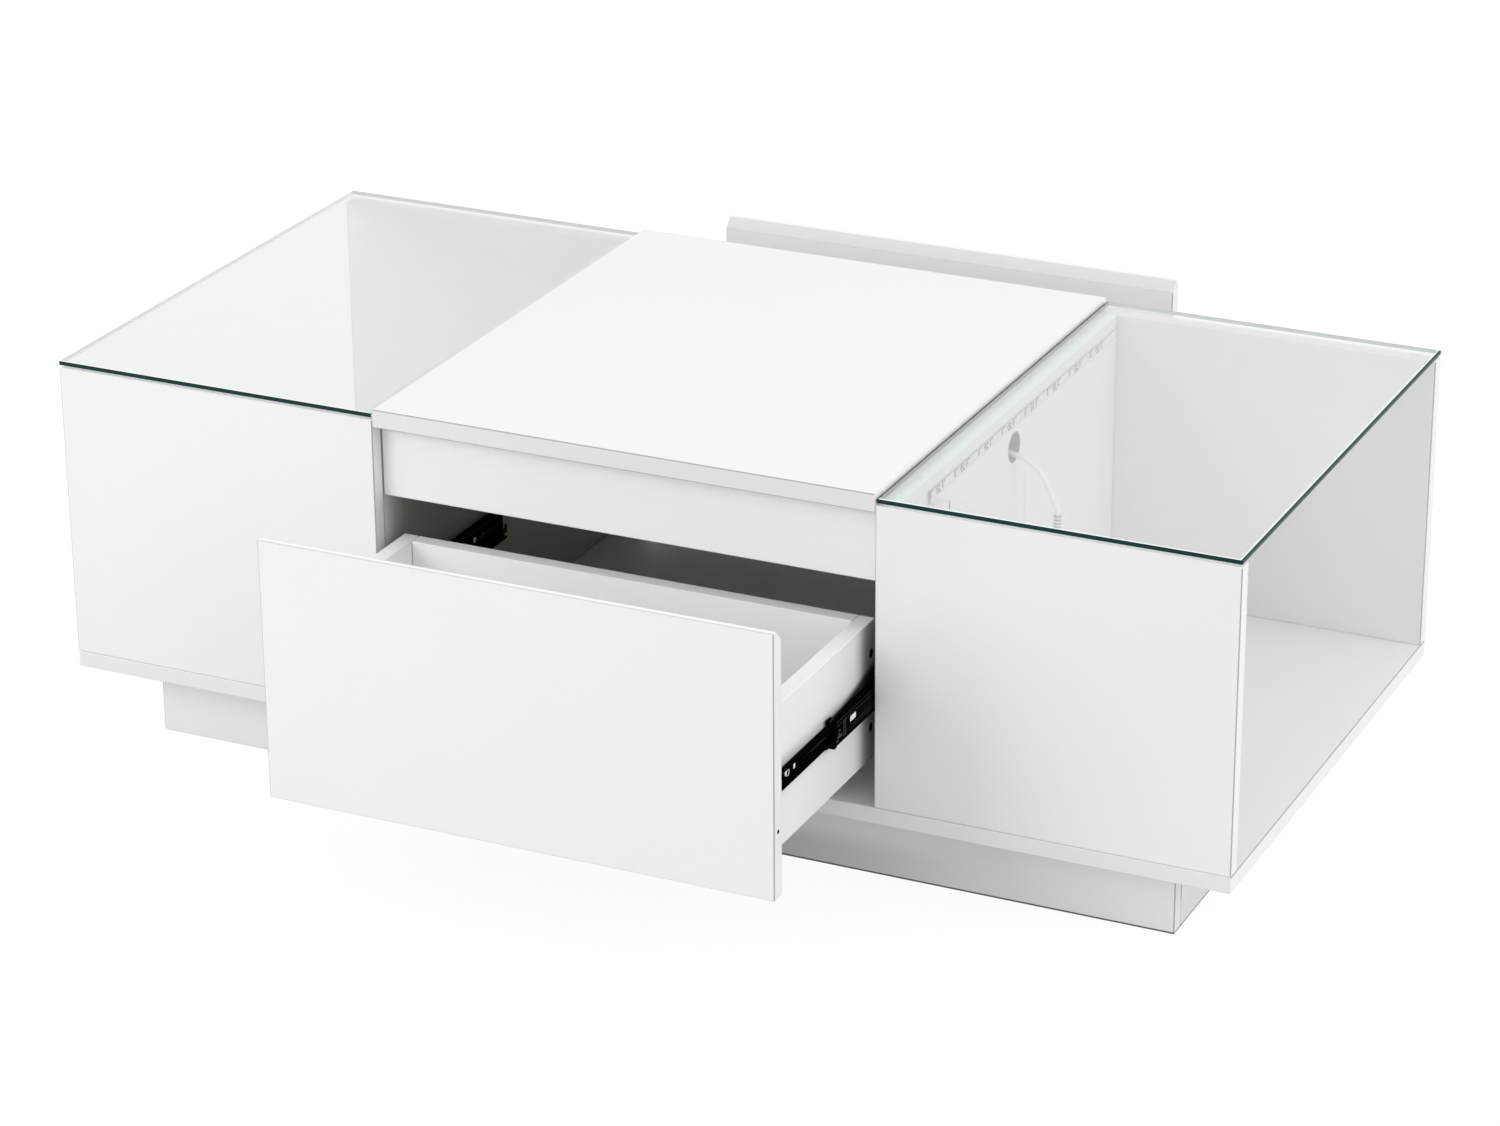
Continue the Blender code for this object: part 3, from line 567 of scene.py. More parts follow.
def shade_side(finish):
    """Painted shade on the outer face of a drawer's side: near the cabinet's edge, along the slide, above it
    and along the side's foot.
    """
    y, z = abs(finish.y), finish.z
    outer = finish.fall(max(abs(finish.low.x), abs(finish.high.x)) - abs(finish.x), *FACE_SKIN)
    panel_edge_shade = finish.fall(y, 0.266, 0.304)
    rubbed = finish.fall(abs(z - SLIDE_LEVEL), 0.011, 0.022)
    # Painted shade near the cabinet's edge and in a band along the slide.
    finish.lay(panel_edge_shade.most(rubbed * 0.35) * outer * 0.85, (0.25, 0.25, 0.238))
    above = z - SLIDE_LEVEL - 0.013 + (y - 0.255) * 0.21
    slide_top_shade = finish.fall(above, 0.009, 0.019) * finish.rise(z, SLIDE_LEVEL, SLIDE_LEVEL + 0.002)
    # Painted shade: a black wedge above the slide near the cabinet's edge.
    finish.lay(slide_top_shade * finish.fall(y, 0.33, 0.36) * outer * 0.95, (0.012, 0.012, 0.012))
    under = finish.fall(z - finish.low.z, 0.0009, 0.0013) * finish.fall(y, 0.335, 0.365)
    # Painted shade: a black line along the side's foot.
    finish.lay(under * outer, (0.0, 0.0, 0.0))


def melamine(board, start):
    """The drawer boxes' plain white facing: finely pitted, with a joint line along its edges, painted shade on
    the sides and on each back's face towards the bay, and painted light on their top edges.
    """
    finish = BoardFinish("melamine", board)
    line = finish.joint_line(0.0009)
    finish.ground(0.09, (0.885, 0.885, 0.88), (0.865, 0.865, 0.858), start)
    pits = finish.grain(0.0011, 2.0, stretch=(1, 0.35, 1), start=start)
    finish.lay(finish.rise(pits, 0.55, 0.75) * 0.10, (0.70, 0.70, 0.69))
    finish.lay(line * 0.3, (0.50, 0.49, 0.46))
    if "_side_" in board:
        shade_side(finish)
    # Painted light on the top edges of the sides and backs.
    if "_side_" in board or board.endswith("_back"):
        finish.lay(finish.fall(finish.high.z - finish.z, *FACE_SKIN) * 0.8, (0.93, 0.93, 0.925))
    # Painted shade on each back's face towards the bay.
    if board.endswith("_back"):
        behind = abs(finish.y) - min(abs(finish.low.y), abs(finish.high.y))
        finish.lay(finish.fall(behind, *FACE_SKIN), (0.05, 0.05, 0.045))
    return finish.skin(finish.colour, 0.42 + pits * 0.12, pits - line * 0.6, 0.00008)


def plate_glass(pane, clear, shaded_sides):
    """Thin clear glass, faintly green. Its ground rim is dark green-grey with a painted highlight line under
    its top arris, and painted shade makes it nearly black on the listed sides, to the depth given for each.
    A painted highlight lies on the bevel above the front edge, and above the right one where that side is
    listed."""
    finish = BoardFinish("glass", pane)
    low, high = finish.low, finish.high
    sides = {"left": finish.x - low.x, "right": high.x - finish.x, "front": finish.y - low.y,
             "rear": high.y - finish.y}
    near, *others = (finish.fall(sides[side], depth, depth + 0.0003) for side, depth in shaded_sides.items())
    for other in others:
        near = near.most(other)
    rim = finish.fall(finish.edge, 0.0007, 0.0010).most(near)
    normal = finish.relief(finish.grain(0.25, 2.0), 0.0004)
    smear = finish.grain(0.03, 3.0)
    gloss = finish.node("BsdfGlossy", {"Color": (1, 1, 1, 1), "Roughness": 0.02, "Normal": normal})
    clear_part = finish.node("BsdfTransparent", {"Color": (*clear, 1)})
    inside = finish.node("NewGeometry", out="Backfacing")
    shine = finish.node("Fresnel", {"IOR": 1.5, "Normal": normal}) * (2.5 + smear * 0.4) * (1 - inside)
    pane_part = finish.node("MixShader", {0: shine, 1: clear_part, 2: gloss})
    grind = finish.grain(0.0006, 1.0)
    # Painted highlight: a pale line just under the top arris of the ground edge.
    top_highlight_line = finish.fall(abs(high.z - finish.z - 0.0007), 0.0003, 0.0007)
    finish.colour = finish.tint(top_highlight_line * 0.8, (0.82, 0.88, 0.86), (0.20, 0.24, 0.235))
    # Painted shade on the rear edge.
    finish.lay(finish.fall(sides["rear"], *EDGE_SKIN) * 0.8, (0.22, 0.24, 0.235))
    # Painted shade: nearly black on the listed sides.
    finish.lay(near, (0.002, 0.022, 0.019))
    finish.lay(grind * 0.15, (0.10, 0.26, 0.24))
    cut = finish.surface(finish.colour, 0.16 + grind * 0.1, finish.relief(grind, 0.00003),
                         Specular_IOR_Level=0.1)
    # Painted highlight on the bevel above the front edge, and above the right one where listed.
    bevel = finish.fall(sides["front"], 0.0026, 0.0038)
    if "right" in shaded_sides:
        bevel = bevel.most(finish.fall(sides["right"], 0.0030, 0.0042))
    bevel = bevel * finish.rise(finish.z, (low.z + high.z) / 2, high.z)
    bright = finish.surface(finish.tint(grind, (0.88, 0.975, 0.945), (0.84, 0.95, 0.92)),
                            0.12 + grind * 0.1, finish.relief(grind, 0.00002))
    pane_part = finish.node("MixShader", {0: bevel * 0.8, 1: pane_part, 2: bright})
    return finish.shown(finish.node("MixShader", {0: rim, 1: pane_part, 2: cut}))


def clear_rubber():
    """Soft clear silicone of the bumpers under the glass."""
    finish = Finish("clear_rubber")
    haze = finish.grain(0.002, 2.0)
    colour = finish.tint(haze, (0.90, 0.92, 0.92), (0.84, 0.87, 0.87))
    return finish.skin(colour, 0.2 + haze * 0.15, haze, 0.00003, Alpha=0.03, Specular_IOR_Level=0.05)


def rolled_steel():
    """Black e-coat on rolled strip: rubbed draw lines along the slide, painted lighter as a stand-in sheen,
    and thin grease.
    """
    finish = Finish("black_rolled_steel")
    lines = finish.grain(0.0026, 1.0, stretch=(1, 0.012, 1))
    grease = finish.grain(0.012, 3.0)
    rubbed = finish.rise(lines, 0.56, 0.66)
    colour = finish.tint(grease, (0.0010, 0.0010, 0.0010), (0.003, 0.003, 0.003))
    # The draw lines are real; their lighter colour is partly painted sheen, since the steel has no specular
    # reflection.
    colour = finish.tint(rubbed * 0.8, colour, (0.038, 0.038, 0.038))
    return finish.skin(colour, 0.42 + grease * 0.16 - rubbed * 0.1, lines, 0.00004, Specular_IOR_Level=0.0)


def bright_steel():
    finish = Finish("bright_steel")
    lines = finish.grain(0.0009, 2.0, stretch=(1, 0.05, 1))
    colour = finish.tint(lines, (0.62, 0.63, 0.64), (0.48, 0.49, 0.50))
    return finish.skin(colour, 0.18 + lines * 0.12, lines, 0.00001, Metallic=1.0)


def zinc():
    """Blue-white zinc plate of the screws."""
    finish = Finish("zinc_plate")
    mottle = finish.grain(0.0012, 3.0)
    colour = finish.tint(mottle, (0.92, 0.92, 0.91), (0.80, 0.80, 0.80))
    return finish.skin(colour, 0.32 + mottle * 0.15, mottle, 0.00001, Metallic=0.6)


def moulded(name, light, dark, size=0.0008, gloss=0.38, shine=0.5):
    """Moulded plastic with a fine spark-eroded skin."""
    finish = Finish(name)
    sparks = finish.grain(size, 2.0)
    cloud = finish.grain(0.01, 2.0)
    colour = finish.tint(sparks * 0.5 + cloud * 0.5, light, dark)
    return finish.skin(colour, gloss + sparks * 0.12, sparks, 0.00003, Specular_IOR_Level=shine)


def lead_jacket():
    """White vinyl jacket, slightly waxy."""
    finish = Finish("lead_jacket")
    wax = finish.grain(0.003, 3.0)
    colour = finish.tint(wax, (0.97, 0.97, 0.97), (0.94, 0.94, 0.94))
    return finish.skin(colour, 0.34 + wax * 0.14, wax, 0.00002, Coat_Weight=0.6)


def strip_sleeve():
    """Milky clear silicone over the light strip, with painted shade along its upper edge and at its front end.
    """
    finish = Finish("strip_sleeve")
    haze = finish.grain(0.004, 3.0)
    low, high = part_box("led_strip_right")
    top_shade_line = finish.fall(high.z - finish.z, *EDGE_SKIN)
    top_shade_line = top_shade_line * finish.fall(high.x - abs(finish.x), 0.0007, 0.0010)
    rim = top_shade_line.most(finish.fall(finish.y - low.y, 0.0009, 0.0014))
    colour = finish.tint(haze, (0.88, 0.90, 0.88), (0.82, 0.84, 0.82))
    # Painted shade along the upper edge and the front end.
    colour = finish.tint(rim * 0.9, colour, (0.10, 0.11, 0.105))
    return finish.skin(colour, 0.16 + haze * 0.18, haze, 0.00004, Alpha=0.10 + rim * 0.45)


COPPER_RUNS_PER_METRE = 620


def strip_ribbon():
    """White solder mask with its printed copper runs just showing."""
    finish = Finish("strip_ribbon")
    run = (finish.z * COPPER_RUNS_PER_METRE).fraction()
    speck = finish.grain(0.0012, 2.0, stretch=(1, 0.4, 1))
    copper = finish.rise(abs(run - 0.5), 0.30, 0.42) * 0.2
    colour = finish.tint(copper, (0.88, 0.89, 0.88), (0.62, 0.62, 0.60))
    colour = finish.tint(finish.rise(speck, 0.5, 0.7) * 0.25, colour, (0.55, 0.55, 0.54))
    return finish.skin(colour, 0.4 + speck * 0.1, speck, 0.00003)


def led_window():
    """Yellow phosphor in a clear dome."""
    finish = Finish("led_window")
    dots = finish.grain(0.0005, 2.0)
    colour = finish.tint(dots, (0.88, 0.88, 0.80), (0.82, 0.81, 0.66))
    return finish.skin(colour, 0.1 + dots * 0.1, dots, 0.00002)


# ---------------------------------------------------------------- the low-voltage lead

LEAD_DIAMETER = 0.0055
RELIEF_RIBS, RIB_PITCH, RIB_TAPER = 4, 0.0034, 0.00035
LEAD_POINTS = [
    (0.2437, 0.0377, 0.3450), (0.2437, 0.0290, 0.3448), (0.2455, 0.0180, 0.3436), (0.2505, 0.0085, 0.3417),
    (0.2590, 0.0022, 0.3401), (0.2690, 0.0003, 0.3391), (0.2790, 0.0000, 0.3374), (0.2900, 0.0000, 0.3334),
    (0.3010, 0.0000, 0.3240), (0.3092, 0.0000, 0.3106), (0.3150, 0.0000, 0.2970), (0.3182, 0.0000, 0.2905),
    (0.3192, 0.0000, 0.2880), (0.3192, 0.0000, 0.2850),
]


def through(points, steps):
    """Points on a smooth curve through the given ones, this many to each stretch."""
    knots = [Vector(point) for point in points]
    knots = [2 * knots[0] - knots[1], *knots, 2 * knots[-1] - knots[-2]]
    line = []
    for before, first, second, after in zip(knots, knots[1:], knots[2:], knots[3:]):
        for step in range(steps):
            t = step / steps
            line.append(0.5 * (2 * first + (second - before) * t
                               + (2 * before - 5 * first + 4 * second - after) * t * t
                               + (3 * first - before - 3 * second + after) * t ** 3))
    return [*line, knots[-2]]


def length_of(line):
    return sum((second - first).length for first, second in zip(line, line[1:]))


def hang_lead():
    """The lead leaves the driver's gland, crosses the cable hole and hangs down inside the right cubby."""
    line = through(LEAD_POINTS, steps=3)
    curve = bpy.data.curves.new("led_lead_jacket", "CURVE")
    curve.dimensions = "3D"
    curve.bevel_depth = LEAD_DIAMETER / 2
    curve.bevel_resolution = 6
    curve.use_fill_caps = True
    spline = curve.splines.new("POLY")
    spline.points.add(len(line) - 1)
    for point, place in zip(spline.points, line):
        point.co = (*place, 1)
    spline.use_smooth = True
    lead = added("led_lead_jacket", curve)
    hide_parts("led_lead")
    fit(lead, "cabinet", lead_jacket())
    length_of(line)


def build_connector():
    """Ribbed strain relief above a round socket with a finger groove and an open mouth."""
    top, mouth = side_of("led_lead_connector", 2, 1), side_of("led_lead_connector", 2, -1)
    place = Vector((LEAD_POINTS[-1][0], 0, 0))
    rings = [(mouth, 0.0043), (mouth + 0.0005, 0.0050), (mouth + 0.0012, 0.00525), (mouth + 0.0165, 0.00525),
             (mouth + 0.0170, 0.0048), (mouth + 0.0180, 0.0047), (mouth + 0.0185, 0.00525),
             (mouth + 0.0255, 0.00525), (mouth + 0.0266, 0.0049), (mouth + 0.0272, 0.0042)]
    for number in range(RELIEF_RIBS):
        foot = mouth + 0.0276 + number * RIB_PITCH
        wide = 0.0051 - number * RIB_TAPER
        rings += [(foot, 0.0033), (foot + 0.0005, wide - 0.0003), (foot + 0.0010, wide),
                  (foot + 0.0015, wide - 0.0002), (foot + 0.0019, 0.0033)]
    rings.append((top, 0.0031))
    body = turned("connector", place, rings, 40)
    bore = turned("connector_bore", place, [(mouth - 0.001, 0.0028), (mouth + 0.009, 0.0028)], 32)
    cut_away(body, bore)
    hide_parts("led_lead_connector")
    plastic = moulded("connector_plastic", (0.88, 0.885, 0.88), (0.80, 0.81, 0.80))
    fit(body, "cabinet", plastic)
    # Painted shade: a grey core that darkens the grooves between the ribs.
    core = turned("connector_core", place, [(mouth + 0.0275, 0.00335), (mouth + 0.0276, 0.00355),
                                            (top - 0.0004, 0.00355), (top - 0.0003, 0.0033)], 32)
    fit(core, "cabinet", moulded("relief_groove_shade", (0.40, 0.41, 0.40), (0.28, 0.29, 0.28)))
    pin = turned("connector_pin", place, [(mouth + 0.0015, 0.0006), (mouth + 0.0022, 0.00095),
                                          (mouth + 0.0095, 0.00095)], 20)
    fit(pin, "cabinet", zinc())
    return body


connector = build_connector()
hang_lead()


# ---------------------------------------------------------------- boards and glass

# Each board draws its grain this far from the one before it, so that no two are alike.
GRAIN_STEP = 3.7
# How far from the table's middle along X each bead begins and ends.
BEAD_ENDS = (0.2745, 0.5990)


def dress_boards():
    start = 0.0
    for name in sorted(nodes):
        slot = nodes[name].material_slots[0]
        start += GRAIN_STEP
        if slot.material.name.startswith("white_lacquer"):
            slot.material = lacquered(name, start)
        elif slot.material.name.startswith("drawer_white"):
            slot.material = melamine(name, start)


def seal_joints():
    """A fine white bead in the hairline gap between each long panel and the bottom panel."""
    floor_level = side_of("bottom_panel", 2, 1)
    finish = moulded("joint_bead", (0.88, 0.88, 0.875), (0.84, 0.84, 0.835), 0.002, 0.45)
    for end_name, end, hand_name, hand in CORNERS:
        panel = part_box(f"{end_name}_panel_{hand_name}")
        inner = min(abs(panel[0].y), abs(panel[1].y))
        reach = sorted(hand * along for along in BEAD_ENDS)
        across = sorted((end * (inner - 0.0004), end * (inner + 0.0016)))
        bead = slab(f"{end_name}_{hand_name}_bead", (reach[0], across[0], floor_level - 0.0002),
                    (reach[1], across[1], floor_level + 0.0005), 0.0001, 1)
        fit(bead, "cabinet", finish)


def dress_glass():
    left, right = nodes["glass_top_left"], nodes["glass_top_right"]
    left.material_slots[0].material = plate_glass("glass_top_left", (0.872, 0.889, 0.900), {"front": 0.0006})
    right.material_slots[0].material = plate_glass("glass_top_right", (0.925, 0.950, 0.940),
                                                   {"front": 0.0006, "left": 0.0015, "right": 0.0018})


dress_boards()
seal_joints()
dress_glass()


# ---------------------------------------------------------------- small fittings

# Where the screws and locks sit: how far from the table's middle along Y, with the drawers as in the
# photograph, the locks' two levels, and how high the pins are above the foot of a drawer's face.
DRAWER_SCREWS = (0.451, 0.287)
CABINET_SCREWS = (0.2375, 0.1155, 0.0975)
BOX_LOCK = 0.2622
LOCK_LEVELS = (0.16055, 0.23405)
PIN_RISE = 0.065


def build_screw(name, rings, cross):
    """A screw head at the origin, facing +X, with a cross recess."""
    head = turned(name, (0, 0, 0), rings, 32, ALONG_X)
    foot, top = rings[-1][0] - 0.0007, rings[-1][0] + 0.0020
    upright = slab("cross_a", (foot, -0.0004, -cross), (top, 0.0004, cross), 0.0001, 1)
    level = slab("cross_b", (foot, -cross, -0.0004), (top, cross, 0.0004), 0.0001, 1)
    cut_away(head, upright, level)
    return head


def place_slide_screws():
    """Domed screws in the drawer members, each with a near-black disc of painted shade in its driver socket,
    and flat ones in the cabinet members.
    """
    domed = build_screw("screw", [(-0.0002, 0.0034), (0.0, 0.0041), (0.0007, 0.0041), (0.0013, 0.0037),
                                  (0.0018, 0.0030), (0.0016, 0.0027), (0.0009, 0.0025)], 0.0012)
    # Painted shade: a near-black disc sitting in each domed screw's recess.
    socket = turned("socket", (0, 0, 0), [(0.0006, 0.0025), (0.0013, 0.0025), (0.0012, 0.0019)], 28, ALONG_X)
    flat = build_screw("flat_screw", [(-0.0002, 0.0024), (0.0, 0.0028), (0.0003, 0.0028), (0.0006, 0.0022)],
                       0.0015)
    plated = zinc()
    dark = moulded("screw_socket_shade", (0.02, 0.02, 0.02), (0.01, 0.01, 0.01), gloss=0.5, shine=0.1)
    for end_name, end, hand_name, hand in CORNERS:
        tag = end_name + "_" + hand_name
        inner = side_of(tag + "_slide_drawer_member", 0, -hand)
        for number, along in enumerate(DRAWER_SCREWS, 1):
            place = (inner + hand * 0.0012, end * along, SLIDE_LEVEL)
            screw = copied(domed, f"{tag}_drawer_screw_{number}", place, (hand, 1, 1))
            fit(screw, end_name + "_drawer", plated)
            centre = copied(socket, f"{tag}_drawer_socket_{number}", place, (hand, 1, 1))
            fit(centre, end_name + "_drawer", dark)
        outer = side_of(tag + "_slide_cabinet_member", 0, hand)
        for number, along in enumerate(CABINET_SCREWS, 1):
            place = (outer - hand * 0.0008, end * along, SLIDE_LEVEL)
            screw = copied(flat, f"{tag}_cabinet_screw_{number}", place, (-hand, 1, 1))
            fit(screw, "cabinet", plated)
    throw_away(domed, socket, flat)


def place_slide_plugs():
    """A white fill in the window of each middle member, and a painted light fill in the slot of each drawer
    member, standing for the lit board seen through it.
    """
    nylon = moulded("white_fill", (0.93, 0.93, 0.925), (0.88, 0.88, 0.875), 0.0009, 0.4)
    window = slab("window_plug", (0.2521, 0.3193, 0.1970), (0.2530, 0.3312, 0.2022), 0.0002, 1)
    # Painted light: the slot's fill stands for the lit board seen through the slot.
    tongue = slab("slot_light_fill", (0.24335, 0.4322, SLIDE_LEVEL - 0.0034),
                  (0.24480, 0.4358, SLIDE_LEVEL + 0.0034), 0.0003, 1)
    plugs = ((window, "window_plug", "slide_middles"), (tongue, "slot_light_fill", "drawer"))
    for end_name, end, hand_name, hand in CORNERS:
        for pattern, part, body in plugs:
            plug = copied(pattern, f"{end_name}_{hand_name}_{part}", flip=(hand, end, 1))
            fit(plug, f"{end_name}_{body}", nylon)
    throw_away(window, tongue)


def place_box_locks():
    """Dark cam locks sunk in the drawer boxes' sides, where they hold the backs."""
    pattern = turned("lock", (0, 0, 0), [(-0.0048, 0.0048), (-0.0006, 0.0048), (-0.0003, 0.0045)], 28,
                     ALONG_X)
    cut_away(pattern, slab("lock_bar", (-0.0012, -0.0006, -0.0034), (0.0, 0.0006, 0.0034), 0.0001, 1))
    dark = moulded("lock_zinc", (0.006, 0.006, 0.006), (0.002, 0.002, 0.002), gloss=0.45, shine=0.1)
    for end_name, end, hand_name, hand in CORNERS:
        face = side_of(f"{end_name}_drawer_side_{hand_name}", 0, hand)
        for number, level in enumerate(LOCK_LEVELS, 1):
            lock = copied(pattern, f"{end_name}_{hand_name}_box_lock_{number}",
                          (face, end * BOX_LOCK, level), (hand, 1, 1))
            fit(lock, end_name + "_drawer", dark)
    throw_away(pattern)


def place_face_pins():
    """Small screw heads in the two narrow ends of each drawer's face, black as painted shade of the holes they
    sit in.
    """
    pattern = build_screw("face_pin", [(-0.0012, 0.0022), (0.0, 0.0022), (0.0002, 0.0019)], 0.0009)
    # Painted shade: the heads are black to darken the holes.
    dark = moulded("pin_hole_shade", (0.012, 0.012, 0.012), (0.005, 0.005, 0.005), gloss=0.5, shine=0.2)
    for end_name, _, hand_name, hand in CORNERS:
        face = end_name + "_drawer_face"
        place = (hand * side_of(face, 0, 1), middle_of(face, 1), side_of(face, 2, -1) + PIN_RISE)
        pin = copied(pattern, f"{end_name}_{hand_name}_face_pin", place, (hand, 1, 1))
        fit(pin, end_name + "_drawer", dark)
    throw_away(pattern)


def build_end_block():
    """Black nylon end of the right front slide's middle member: it bridges the drawer member, which slides
    through it, with a cheek above and one below."""
    low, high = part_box("front_right_slide_middle_member")
    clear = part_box("front_right_slide_drawer_member")
    front, back = low.y - 0.0020, low.y + 0.0034
    inner, lip = 0.2449, 0.2462
    foot, top = low.z + 0.0002, high.z - 0.0002
    cap = slab("end_cap", (0.2502, front, foot), (0.2534, back, top), 0.0004, 1)
    cheeks = [slab("end_cheek", (inner, front, start), (0.2510, back, end), 0.0003, 1)
              for start, end in ((foot, clear[0].z - 0.0004), (clear[1].z + 0.0004, top))]
    upper = slab("end_upper", (inner, low.y - 0.0028, high.z - 0.0010),
                 (lip, low.y + 0.0080, high.z + 0.0014), 0.0004)
    lower = slab("end_lower", (inner, low.y - 0.0028, low.z - 0.0016),
                 (lip, low.y + 0.0060, low.z + 0.0010), 0.0004)
    return joined("end_block", [cap, *cheeks, upper, lower])


def build_catch():
    """The release lever beside the end block, with a toothed nose, and two guide ribs behind it."""
    low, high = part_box("front_right_slide_middle_member")
    front, back, face = low.y, 0.2527, 0.2533
    nose = [slab("catch_tooth", (back, front + 0.0030 + step * 0.0016, low.z + 0.0045 + step * 0.0030),
                 (0.2537, front + 0.0062 + step * 0.0016, low.z + 0.0070 + step * 0.0030), 0.0004, 1)
            for step in range(4)]
    lever = slab("catch_lever", (back, front + 0.0085, low.z + 0.0070),
                 (face, front + 0.0150, low.z + 0.0098), 0.0003, 1)
    ribs = [slab("catch_rib", (back, front + along, low.z + 0.0045),
                 (face, front + along + 0.0012, high.z - 0.0050), 0.0002, 1) for along in (0.0185, 0.0222)]
    return joined("catch", [*nose, lever, *ribs])


def place_end_blocks():
    block, catch = build_end_block(), build_catch()
    nylon = moulded("black_nylon", (0.003, 0.003, 0.003), (0.001, 0.001, 0.001), 0.0009, 0.5, 0.0)
    # Painted highlight: the catch is a lighter black than the end block, standing in for glints on its edges.
    glinting = moulded("glint_nylon", (0.045, 0.045, 0.045), (0.010, 0.010, 0.010), 0.0009, 0.3, 0.2)
    for end_name, end, hand_name, hand in CORNERS:
        for part, pattern, finish in (("end", block, nylon), ("catch", catch, glinting)):
            twin = copied(pattern, f"{end_name}_{hand_name}_slide_{part}", flip=(hand, -end, 1))
            fit(twin, end_name + "_slide_middles", finish)
    throw_away(block, catch)


def place_slide_tails():
    """Hooked tab on the inner end of each cabinet member, where the drawer's hold-in catch rides over it."""
    low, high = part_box("front_left_slide_cabinet_member")
    hook = low.z + 0.0100
    pattern = slab("tail", (low.x + 0.0002, high.y - 0.0030, low.z + 0.0006),
                   (low.x + 0.0013, high.y + 0.0085, hook), 0.0003, 1)
    cut_away(pattern, turned("tail_notch", (low.x - 0.001, high.y + 0.0010, hook),
                             [(0.0, 0.0048), (0.004, 0.0048)], 28, ALONG_X))
    black = moulded("tail_coat", (0.006, 0.006, 0.006), (0.002, 0.002, 0.002), 0.0009, 0.5, 0.1)
    for end_name, end, hand_name, hand in CORNERS:
        tail = copied(pattern, f"{end_name}_{hand_name}_slide_tail", flip=(-hand, -end, 1))
        fit(tail, "cabinet", black)
    throw_away(pattern)


def refine_slides():
    """Smooth copies of the rolled members and of the ball cages, each on the body that carries it."""
    black, bright = rolled_steel(), bright_steel()
    riders = {"cabinet_member": "cabinet", "middle_member": "{}_slide_middles", "drawer_member": "{}_drawer",
              "outer_balls": "{}_outer_balls", "inner_balls": "{}_inner_balls"}
    for end_name, _, hand_name, _ in CORNERS:
        for part, body in riders.items():
            node = f"{end_name}_{hand_name}_slide_{part}"
            steel, slot = (bright, "bright_steel") if "balls" in part else (black, "black_steel")
            fit(refined(node, node + "_rolled"), body.format(end_name), steel)


def round_bumpers():
    rubber = clear_rubber()
    for name in sorted(nodes):
        if not name.startswith("glass_bumper"):
            continue
        place = (middle_of(name, 0), middle_of(name, 1), side_of(name, 2, -1))
        dome = turned(name + "_dome", place, [(0.0, 0.0046), (0.0003, 0.0049), (0.0012, 0.0048),
                                              (0.0017, 0.0042), (0.0020, 0.0030)], 40)
        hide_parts(name)
        fit(dome, "cabinet", rubber)


refine_slides()
round_bumpers()
place_slide_screws()
place_slide_plugs()
place_box_locks()
place_face_pins()
place_end_blocks()
place_slide_tails()


# ---------------------------------------------------------------- light strips, controller and driver

# The strip repeats one cluster of chips, with a lamp on each side of it and a set of solder pads before it.
FIRST_CLUSTER = -0.187
CLUSTER_PITCH = 0.0570
CLUSTERS = 8
LAMP_SHIFT = 0.0140
PADS_SHIFT = -0.0285
CHIP_SPOTS = ((-0.0042, 0.0006), (-0.0016, -0.0030), (-0.0016, 0.0022), (0.0010, -0.0008),
              (0.0036, -0.0032), (0.0036, 0.0016))


def build_strip_parts():
    """The right strip's ribbon and what is soldered to it, in place."""
    low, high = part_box("led_strip_right")
    level = middle_of("led_strip_right", 2)
    back = low.x + 0.00015
    top = back + 0.00025
    ribbon = slab("ribbon", (back, low.y + 0.0015, level - 0.0040), (top, high.y - 0.0015, level + 0.0040),
                  0.00005, 1)
    lamps, windows, chips, pads, legs = [], [], [], [], []
    for number in range(CLUSTERS):
        middle = FIRST_CLUSTER + number * CLUSTER_PITCH
        for along, up in CHIP_SPOTS:
            chips.append(slab("chip", (top, middle + along, level + up - 0.0011),
                              (top + 0.0007, middle + along + 0.0017, level + up + 0.0011), 0.0001, 1))
        for shift in (PADS_SHIFT, -LAMP_SHIFT, LAMP_SHIFT):
            centre = middle + shift
            if not low.y + 0.006 < centre < high.y - 0.006:
                continue
            if shift == PADS_SHIFT:
                for up in (-0.0030, -0.0010, 0.0010, 0.0030):
                    pads.append(slab("pad", (top - 0.0001, centre - 0.0018, level + up - 0.0007),
                                     (top + 0.0002, centre + 0.0018, level + up + 0.0007), 0.00008, 1))
                continue
            lamps.append(slab("lamp", (top, centre - 0.0025, level - 0.0025),
                              (top + 0.0013, centre + 0.0025, level + 0.0025), 0.0002, 1))
            legs.append(slab("seat", (top - 0.0001, centre - 0.0031, level - 0.0031),
                             (top + 0.0003, centre + 0.0031, level + 0.0031), 0.0001, 1))
            for leg in (-0.0039, 0.0027):
                for up in (-0.0018, 0.0018):
                    legs.append(slab("leg", (top, centre + leg, level + up - 0.0010),
                                     (top + 0.0006, centre + leg + 0.0012, level + up + 0.0010), 0.0001, 1))
            windows.append(turned("window", (top + 0.0012, centre, level),
                                  [(0.0, 0.0019), (0.0002, 0.0019), (0.00028, 0.0015)], 24, ALONG_X))
    return {"ribbon": ribbon, "lamps": joined("lamps", lamps), "windows": joined("windows", windows),
            "chips": joined("chips", chips), "pads": joined("pads", pads), "legs": joined("legs", legs)}


